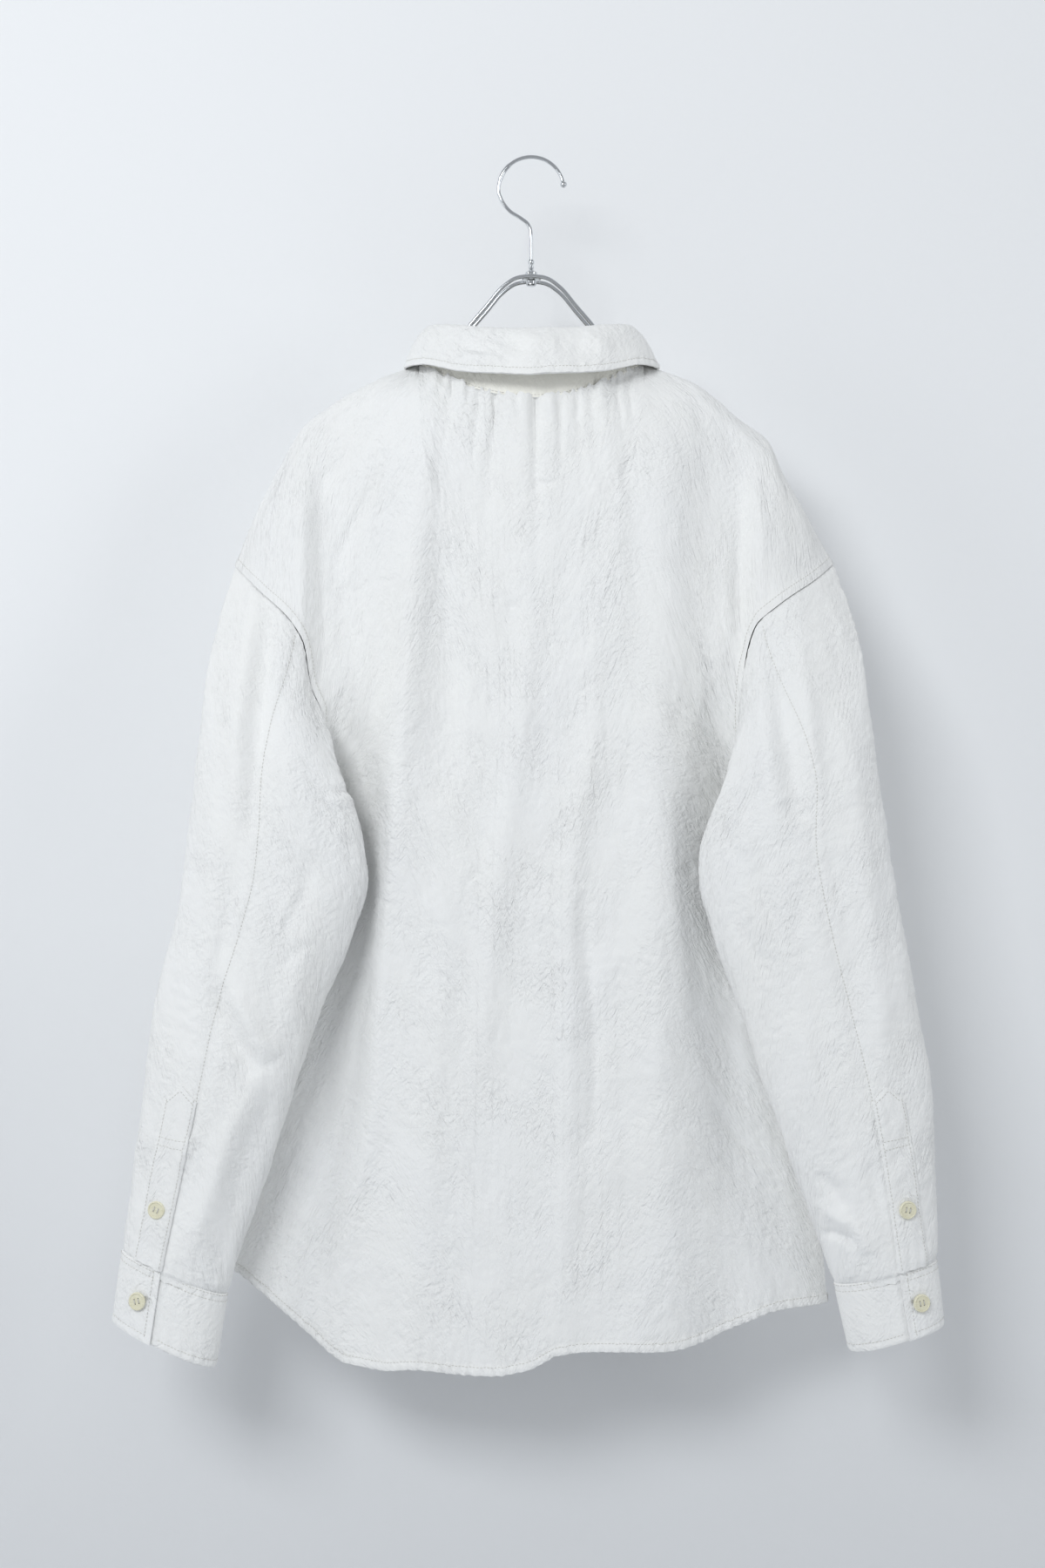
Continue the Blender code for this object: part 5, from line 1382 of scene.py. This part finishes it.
def build_band(cloth):
    """The button band down the wearer's left front."""
    grid, _ = BUILT["front_left"]
    across = np.linspace(-FRONT_LAP, FRONT_LAP - 0.0002, 17)
    strip = np.zeros((len(grid), len(across), 3))
    strip[..., 0] = across
    for r, line in enumerate(grid):
        order = np.argsort(line[:, 0])
        for axis in (1, 2):
            strip[r, :, axis] = np.interp(across, line[order, 0], line[order, axis])
    strip[0, :, 2] -= 0.0008
    run = edge_length(strip, 0)
    rim = np.minimum(from_edge(strip, "left"), from_edge(strip, "right"))
    height = 0.0013 + 0.0004 * ease(rim, 0, 0.002) - 0.0004 * np.exp(-((rim - 0.0045) / 0.0012) ** 2)
    height += puckers(np.abs(rim - 0.0045), run, 67, pitch=0.009, depth=0.0005, reach=0.006)
    forward = np.array([0, 1.0, 0])
    outer = strip + forward * height[..., None]
    piece = shell_piece("front_band_cloth", outer, strip + forward * 0.0003, finish_of("cotton"))
    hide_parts("front_band")
    normals = np.broadcast_to(forward, outer.shape)
    BUILT["band"] = (outer, normals)
    for which in ("left", "right"):
        stitch_row(STITCHES["body"], *inset_line(outer, normals, which, 0.0045, 0.004, 0.996))


# ---------------------------------------------------------------- buttons and buttonholes


def button_seat(node, inside):
    """Where a button sits: its middle, its facing and its radius, from its node."""
    points = np.array([v.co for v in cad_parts[node].data.vertices])
    middle = (points.max(0) + points.min(0)) / 2
    spread = points - points.mean(0)
    facing = np.linalg.eigh(spread.T @ spread)[1][:, 0]
    facing = facing * np.sign(np.dot(facing, middle - inside(middle)))
    level = spread @ facing
    radius = np.linalg.norm(spread - level[:, None] * facing, axis=1).max()
    return points.mean(0) + facing * level.min(), facing, radius


CORNERS = ((1, 1), (1, -1), (-1, 1), (-1, -1))
HOLE_PLACE, PLATE_RADIUS = 0.24, 0.86  # in parts of the button's radius
BUTTON_RIM = ((0.80, 0.12), (0.84, 0.0), (0.96, 0.02), (1.0, 0.16), (1.0, 0.62), (0.97, 0.86),
              (0.91, 0.98), (0.85, 0.98), (0.80, 0.84), (0.78, 0.66))
THREAD_PATH = ((-1, -0.2), (-1, 0.5), (-0.9, 0.80), (-0.4, 0.90), (0, 0.92), (0.4, 0.90),
               (0.9, 0.80), (1, 0.5), (1, -0.2))
BUTTON_SPINS = (8, -14, 20, -6, 12, -18, 16, -22, 10, -12)
SLOT_TILTS = {"button_cuff_left": 22, "button_cuff_right": -14}


def button_mesh(radius, thick, trim):
    """Points and faces of a four-hole button with a raised rim, its underside at z = 0."""
    curve = bpy.data.curves.new("button_outline", "CURVE")
    curve.dimensions, curve.fill_mode = "2D", "BOTH"
    reach = radius * HOLE_PLACE
    circles = [(0, 0, radius * PLATE_RADIUS, 40)]
    circles += [(x * reach, y * reach, trim.hole_radius, 14) for x, y in CORNERS]
    for x, y, size, count in circles:
        spline = curve.splines.new("POLY")
        spline.points.add(count - 1)
        for k, point in enumerate(spline.points):
            a = k * math.tau / count
            point.co = (x + size * math.cos(a), y + size * math.sin(a), 0, 1)
        spline.use_cyclic_u = True
    curve.extrude = thick * 0.30
    curve.bevel_depth = thick * 0.06
    holder = bpy.data.objects.new("button_outline", curve)
    bpy.context.collection.objects.link(holder)
    data = bpy.data.meshes.new_from_object(holder)
    plate = bmesh.new()
    plate.from_mesh(data)
    bmesh.ops.triangulate(plate, faces=plate.faces)
    bmesh.ops.translate(plate, verts=plate.verts, vec=(0, 0, thick * 0.38))
    bpy.data.objects.remove(holder)
    revolved(plate, [(r * radius, z * thick) for r, z in BUTTON_RIM], closed=True)
    return triangles_of(plate)


def turned_to(points, seat, facing, spin):
    """Points made about z = 0, spun and then laid on a seat."""
    matrix = np.array(Vector(facing).to_track_quat("Z", "Y").to_matrix())
    a = math.radians(spin)
    roll = np.array([[math.cos(a), -math.sin(a), 0], [math.sin(a), math.cos(a), 0], [0, 0, 1]])
    return points @ roll.T @ matrix.T + seat


def build_buttons(trim):
    """The buttons where the frame has them, with their threads and buttonholes."""
    names = [f"button_front_{k}" for k in range(1, 7)]
    names += [f"button_{kind}_{name}" for _, name in SIDES for kind in ("cuff", "placket")]
    thick = trim.button_thick
    threads, slots = [], []
    for node, spin in zip(names, BUTTON_SPINS):
        if "front" in node:
            def inside(middle):
                return np.array([0, 0, middle[2]])
        else:
            def inside(middle):
                return np.array([middle[0], SLEEVE_MIDDLE, middle[2]])
        seat, facing, radius = button_seat(node, inside)
        points, faces = button_mesh(radius, thick, trim)
        piece = mesh_piece(f"{node}_horn", turned_to(points, seat, facing, spin), faces,
                           finish_of("ivory"), smooth=40)
        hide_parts(node)
        reach = radius * HOLE_PLACE
        for side in (-1, 1):
            for strand in (-0.00028, 0.0, 0.00028):
                path = [(side * reach + strand, y * reach, z * thick) for y, z in THREAD_PATH]
                strand_points, strand_faces = tube(path, 0.00017, sides=6)
                threads.append((turned_to(strand_points, seat, facing, spin), strand_faces))
        slots += buttonhole(seat, facing, radius, SLOT_TILTS.get(node, 90))
    joined("button_threads", threads, finish_of("thread"))
    joined("buttonhole_stitches", slots, finish_of("thread"))


def buttonhole(seat, facing, radius, tilt):
    """Close stitches down both sides of a buttonhole, which shows past its button."""
    half, gap, sunk = radius + 0.0014, 0.0007, 0.0008
    store = []
    for x in np.linspace(-half, half, 46):
        for side in (-1, 1):
            path = [(x, side * 0.0001, 0.0), (x, side * gap, 0.00012),
                    (x, side * (gap + 0.0007), 0.00008)]
            points, faces = tube(path, 0.00013, sides=5)
            store.append((turned_to(points - (0, 0, sunk), seat, facing, tilt), faces))
    return store


# ---------------------------------------------------------------- hanger

HOOK_WIRE, YOKE_WIRE, HOOK_BEND = 0.0015, 0.0016, 0.0254
HOOK_NECK = ((-0.0225, 0, -0.0335), (-0.0165, 0, -0.0410), (-0.0080, 0, -0.0465),
             (-0.0030, 0, -0.0505), (-0.0005, 0, -0.0560), (0, 0, -0.0630), (0, 0, -0.0790))
FERRULE = ((0.0015, 0.0794), (0.0021, 0.0794), (0.0024, 0.0805), (0.0024, 0.0815), (0.0016, 0.0828),
           (0.0016, 0.0838), (0.0022, 0.0846), (0.0022, 0.0853), (0.0016, 0.0862), (0.0022, 0.0872),
           (0.0030, 0.0880), (0.0044, 0.0886), (0.0048, 0.0893), (0.0046, 0.0905), (0.0070, 0.0912),
           (0.0076, 0.0920), (0.0076, 0.0940), (0.0070, 0.0948), (0.0044, 0.0956), (0.0040, 0.0968),
           (0.0040, 0.0985), (0.0032, 0.0994), (0.0, 0.0996))
YOKE = ((0, 0.0100, 0.0934), (0.0107, 0.0100, 0.0950), (0.0226, 0.0100, 0.1027),
        (0.0345, 0.0100, 0.1167), (0.0463, 0.0100, 0.1304), (0.0590, 0.0102, 0.1468),
        (0.0740, 0.0104, 0.1640), (0.0860, 0.0107, 0.1735), (0.1080, 0.0112, 0.1830),
        (0.1290, 0.0117, 0.1915), (0.1480, 0.0120, 0.2030), (0.1650, 0.0120, 0.2160))


BALL_STEPS, BALL_RADIUS = 10, 0.0027
NECK_STEPS, NECK_TURN = 59, 190


def build_hanger():
    """The hook with its ball end, the turned boss and the arm's closed loop of wire."""
    angles = np.radians(np.linspace(14, 188, 72))
    bend = np.column_stack([HOOK_BEND * np.cos(angles), 0 * angles,
                            HOOK_WIRE - HOOK_BEND + HOOK_BEND * np.sin(angles)])
    neck = along([bend[-1], *HOOK_NECK], np.linspace(0, 1, NECK_STEPS + 1))
    tip = unit(bend[0] - bend[1])
    round_end = np.linspace(0, math.pi * 0.8, BALL_STEPS)
    ball = [bend[0] + tip * 0.0024 * (1 + math.cos(a)) for a in round_end]
    turn = np.concatenate([np.zeros(BALL_STEPS), np.degrees(angles[1:]),
                           np.full(NECK_STEPS, float(NECK_TURN))])
    radii = HOOK_WIRE + 0.00035 * ease(turn, 128, 136) * (1 - ease(turn, 160, 168))
    radii[:BALL_STEPS] = np.maximum(BALL_RADIUS * np.sin(np.maximum(round_end, 0.12)), 0.0004)
    radii[BALL_STEPS - 1] = HOOK_WIRE
    points, faces = tube(np.vstack([ball, bend[1:], neck[1:]]), radii, sides=20)
    hook = mesh_piece("hanger_hook_wire", points, faces, finish_of("chrome"))
    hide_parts("hanger_hook")

    boss = bmesh.new()
    revolved(boss, [(radius, -drop) for radius, drop in FERRULE])
    bmesh.ops.remove_doubles(boss, verts=boss.verts, dist=1e-6)
    points, faces = triangles_of(boss)
    ferrule = mesh_piece("hanger_boss", points, faces, finish_of("chrome"), smooth=35)
    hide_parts("hanger_ferrule")

    half = np.array([(out, gap, -drop) for out, gap, drop in YOKE])
    right = along(half, np.linspace(0, 1, 90))
    out, gap, z = right[-1]
    cap = [(out + gap * 0.87 * math.cos(a), gap * math.sin(a), z - gap * 0.47 * math.cos(a))
           for a in np.radians(np.linspace(90, 0, 14)[1:])]
    quarter = np.vstack([right, cap])
    right_half = np.vstack([quarter, quarter[-2::-1] * (1, -1, 1)])
    loop = np.vstack([right_half, (right_half[::-1] * (-1, 1, 1))[1:-1]])
    points, faces = closed_tube(loop, YOKE_WIRE, 16)
    yoke = mesh_piece("hanger_wire", points, faces, finish_of("chrome"))
    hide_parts("hanger_yoke")


# ---------------------------------------------------------------- stage


# Each light: its place, what it is turned towards, its width and height, its share of the power.
LIGHTS = {
    "top_softbox": ((-0.9, -2.0, 0.60), (0, 0, -0.5), (1.0, 0.7), 1.0),
    "left_window": ((-2.3, -1.3, -0.3), (0, 0, -0.6), (0.8, 1.6), 0.30),
    "right_fill": ((2.3, -1.6, 0.0), (0, 0, -0.6), (0.8, 1.6), 0.50),
    "behind_fill": ((0.6, 2.4, 0.3), (0, 0, -0.5), (1.6, 1.6), 0.5),
}
CAMERA_PLACE, CAMERA_LENS = (-0.0068, -1.70, -0.488), 50


def area_light(name, place, target, size, power, colour):
    """A soft rectangular light turned towards a target."""
    data = bpy.data.lights.new(name, "AREA")
    data.shape, data.size, data.size_y = "RECTANGLE", *size
    data.energy, data.color = power, colour
    lamp = bpy.data.objects.new(name, data)
    bpy.context.collection.objects.link(lamp)
    lamp.location = place
    lamp.rotation_euler = (Vector(target) - Vector(place)).to_track_quat("-Z", "Y").to_euler()


def stage_plane(name, corners, material):
    """A four-cornered piece of the stage."""
    data = bpy.data.meshes.new(name)
    data.from_pydata(corners, [], [(0, 1, 2, 3)])
    data.materials.append(material)
    plane = bpy.data.objects.new(name, data)
    bpy.context.collection.objects.link(plane)


def build_stage(stage):
    """The floor, wall, room light, soft lights and camera."""
    half, level = stage.floor_half, -stage.floor_drop
    stage_plane("floor", [(-half, -half, level), (half, -half, level), (half, half, level),
                          (-half, half, level)], plain("pale_floor", tuple(stage.floor_colour)))
    reach, back = stage.wall_half, stage.wall_distance
    stage_plane("wall", [(-reach, back, level), (reach, back, level), (reach, back, reach),
                         (-reach, back, reach)], one_sided("pale_wall", tuple(stage.wall_colour)))

    world = bpy.data.worlds.new("pale_room")
    world.use_nodes = True
    background = world.node_tree.nodes["Background"]
    background.inputs["Color"].default_value = (*stage.room_colour, 1)
    background.inputs["Strength"].default_value = stage.room_strength
    bpy.context.scene.world = world
    bpy.context.scene.view_settings.view_transform = "Standard"
    for name, (place, target, size, share) in LIGHTS.items():
        colour = (1, 1, 1) if name == "behind_fill" else stage.key_colour
        area_light(name, place, target, size, stage.key_power * share, colour)

    camera = bpy.data.cameras.new("camera")
    camera.lens = CAMERA_LENS
    holder = bpy.data.objects.new("camera", camera)
    bpy.context.collection.objects.link(holder)
    holder.location = CAMERA_PLACE
    holder.rotation_euler = (math.pi / 2, 0, 0)
    bpy.context.scene.camera = holder


# ---------------------------------------------------------------- the add-on


class ShirtCloth(bpy.types.PropertyGroup):
    colour: bpy.props.FloatVectorProperty(
        name="Cotton", description="Colour of the washed cotton", subtype="COLOR", size=3,
        default=(0.885, 0.90, 0.93), min=0, max=1)
    warm_colour: bpy.props.FloatVectorProperty(
        name="Cotton, Warm", description="The faintly warmer tone between the yarns",
        subtype="COLOR", size=3, default=(0.875, 0.872, 0.845), min=0, max=1)
    # Painted light: the collar stand's cotton is lighter and warmer than the rest, in place of warm light
    # bounced into the shade under the collar.
    stand_painted_light_colour: bpy.props.FloatVectorProperty(
        name="Collar Stand", description="Colour of the cotton inside the collar", subtype="COLOR",
        size=3, default=(0.96, 0.95, 0.89), min=0, max=1)
    warm_stand_painted_light_colour: bpy.props.FloatVectorProperty(
        name="Collar Stand, Warm", description="The warmer tone between its yarns",
        subtype="COLOR", size=3, default=(0.95, 0.935, 0.865), min=0, max=1)
    thread_colour: bpy.props.FloatVectorProperty(
        name="Thread", description="Colour of the stitching", subtype="COLOR", size=3,
        default=(0.66, 0.65, 0.60), min=0, max=1)
    crinkle_depth: bpy.props.FloatProperty(
        name="Crinkle Depth", description="How deep the fine crinkles are, 1 as washed", default=1.5,
        min=0, max=2)
    fold_depth: bpy.props.FloatProperty(
        name="Fold Depth", description="How deep the sleeves' folds are, 1 as hung", default=1.25,
        min=0, max=2)
    pleat_depth: bpy.props.FloatProperty(
        name="Pleat Depth", description="How deep the gathers at the neck are", default=1.5, min=0,
        max=2)
    yarn_relief: bpy.props.FloatProperty(
        name="Yarn Relief", description="Height of the yarns", default=0.0001, min=0, max=0.002,
        subtype="DISTANCE", unit="LENGTH")
    crease_relief: bpy.props.FloatProperty(
        name="Small Crease Relief", description="Depth of the smallest creases", default=0.0060,
        min=0, max=0.01, subtype="DISTANCE", unit="LENGTH")
    hem_width: bpy.props.FloatProperty(
        name="Hem Width", description="Width of the rolled hem", default=0.0062, min=0.003,
        max=0.02, subtype="DISTANCE", unit="LENGTH")


class ShirtTrim(bpy.types.PropertyGroup):
    button_colour: bpy.props.FloatVectorProperty(
        name="Buttons", description="Colour of the buttons", subtype="COLOR", size=3,
        default=(0.86, 0.84, 0.68), min=0, max=1)
    cloudy_colour: bpy.props.FloatVectorProperty(
        name="Buttons, Cloudy", description="The darker bands in the buttons", subtype="COLOR",
        size=3, default=(0.70, 0.66, 0.46), min=0, max=1)
    wire_colour: bpy.props.FloatVectorProperty(
        name="Hanger Wire", description="Colour of the plated wire", subtype="COLOR", size=3,
        default=(0.72, 0.74, 0.76), min=0, max=1)
    button_thick: bpy.props.FloatProperty(
        name="Button Thickness", description="Thickness of a button at its rim", default=0.0022,
        min=0.001, max=0.004, subtype="DISTANCE", unit="LENGTH")
    hole_radius: bpy.props.FloatProperty(
        name="Hole Radius", description="Radius of a button's holes", default=0.00075, min=0.0003,
        max=0.0015, subtype="DISTANCE", unit="LENGTH")


class ShirtStage(bpy.types.PropertyGroup):
    floor_colour: bpy.props.FloatVectorProperty(
        name="Floor", description="Colour of the floor", subtype="COLOR", size=3,
        default=(0.72, 0.74, 0.77), min=0, max=1)
    room_colour: bpy.props.FloatVectorProperty(
        name="Room", description="Colour of the light from all round", subtype="COLOR", size=3,
        default=(0.93, 0.96, 1.0), min=0, max=1)
    room_strength: bpy.props.FloatProperty(
        name="Room Strength", description="Strength of the light from all round", default=0.42,
        min=0, max=5)
    key_power: bpy.props.FloatProperty(
        name="Light Power", description="Power of the largest light, above and to the left", default=26.0,
        min=0, max=500, unit="POWER")
    key_colour: bpy.props.FloatVectorProperty(
        name="Light Colour", description="Colour of the soft lights", subtype="COLOR", size=3,
        default=(0.95, 0.975, 1.0), min=0, max=1)
    wall_colour: bpy.props.FloatVectorProperty(
        name="Wall", description="Colour of the wall behind", subtype="COLOR", size=3,
        default=(0.86, 0.87, 0.88), min=0, max=1)
    wall_half: bpy.props.FloatProperty(
        name="Wall Reach", description="Half the wall's width", default=1.35, min=0.5, max=10,
        subtype="DISTANCE", unit="LENGTH")
    wall_distance: bpy.props.FloatProperty(
        name="Wall Distance", description="How far the wall stands behind the hook", default=0.09,
        min=0.08, max=3, subtype="DISTANCE", unit="LENGTH")
    floor_drop: bpy.props.FloatProperty(
        name="Floor Drop", description="Depth of the floor below the hook", default=1.6, min=1.0,
        max=3.0, subtype="DISTANCE", unit="LENGTH")
    floor_half: bpy.props.FloatProperty(
        name="Floor Reach", description="Half the floor's side", default=1.35, min=0.5, max=10,
        subtype="DISTANCE", unit="LENGTH")


class SHIRT_OT_body(bpy.types.Operator):
    """Builds the back and the two fronts"""
    bl_idname = "shirt.body"
    bl_label = "Body"

    def execute(self, context):
        cloth = context.scene.shirt_cloth
        build_back(cloth)
        for side, name in SIDES:
            build_front(side, name, cloth)
        return {"FINISHED"}


class SHIRT_OT_sleeves(bpy.types.Operator):
    """Builds the sleeves with their plackets and cuffs"""
    bl_idname = "shirt.sleeves"
    bl_label = "Sleeves"

    def execute(self, context):
        cloth = context.scene.shirt_cloth
        for side, name in SIDES:
            build_sleeve(side, name, cloth)
            build_placket(side, name, cloth)
            build_cuff(side, name, cloth)
        return {"FINISHED"}


class SHIRT_OT_collar(bpy.types.Operator):
    """Builds the collar and the button band"""
    bl_idname = "shirt.collar"
    bl_label = "Collar and Band"

    def execute(self, context):
        for build in (build_stand, build_fall, build_band):
            build(context.scene.shirt_cloth)
        return {"FINISHED"}


class SHIRT_OT_stitching(bpy.types.Operator):
    """Builds the rows of stitches along the seams, hem, collar and cuffs"""
    bl_idname = "shirt.stitching"
    bl_label = "Stitching"

    def execute(self, context):
        for place, store in STITCHES.items():
            joined(f"stitches_{place}", store, finish_of("thread"))
        return {"FINISHED"}


class SHIRT_OT_buttons(bpy.types.Operator):
    """Builds the buttons, their threads and the buttonholes"""
    bl_idname = "shirt.buttons"
    bl_label = "Buttons"

    def execute(self, context):
        build_buttons(context.scene.shirt_trim)
        return {"FINISHED"}


class SHIRT_OT_hanger(bpy.types.Operator):
    """Builds the wire hanger"""
    bl_idname = "shirt.hanger"
    bl_label = "Hanger"

    def execute(self, context):
        build_hanger()
        return {"FINISHED"}


class SHIRT_OT_stage(bpy.types.Operator):
    """Builds the floor, the wall, the lights and the camera"""
    bl_idname = "shirt.stage"
    bl_label = "Stage"

    def execute(self, context):
        build_stage(context.scene.shirt_stage)
        return {"FINISHED"}


STEPS = (SHIRT_OT_hanger, SHIRT_OT_body, SHIRT_OT_sleeves, SHIRT_OT_collar, SHIRT_OT_stitching,
         SHIRT_OT_buttons, SHIRT_OT_stage)


class SHIRT_PT_panel(bpy.types.Panel):
    bl_label = "Crumpled Shirt"
    bl_idname = "SHIRT_PT_panel"
    bl_space_type = "VIEW_3D"
    bl_region_type = "UI"
    bl_category = "Shirt"

    def draw(self, context):
        for group in ("shirt_cloth", "shirt_trim", "shirt_stage"):
            box = self.layout.box()
            settings = getattr(context.scene, group)
            for key in settings.bl_rna.properties.keys():
                if key not in ("rna_type", "name"):
                    box.prop(settings, key)
        for step in STEPS:
            self.layout.operator(step.bl_idname)


GROUPS = {"shirt_cloth": ShirtCloth, "shirt_trim": ShirtTrim, "shirt_stage": ShirtStage}


def register():
    for part in (*GROUPS.values(), *STEPS, SHIRT_PT_panel):
        bpy.utils.register_class(part)
    for name, group in GROUPS.items():
        setattr(bpy.types.Scene, name, bpy.props.PointerProperty(type=group))


def unregister():
    for name in GROUPS:
        delattr(bpy.types.Scene, name)
    for part in reversed((*GROUPS.values(), *STEPS, SHIRT_PT_panel)):
        bpy.utils.unregister_class(part)


def main():
    register()
    for step in STEPS:
        area, name = step.bl_idname.split(".")
        getattr(getattr(bpy.ops, area), name)()


if __name__ == "__main__":
    main()
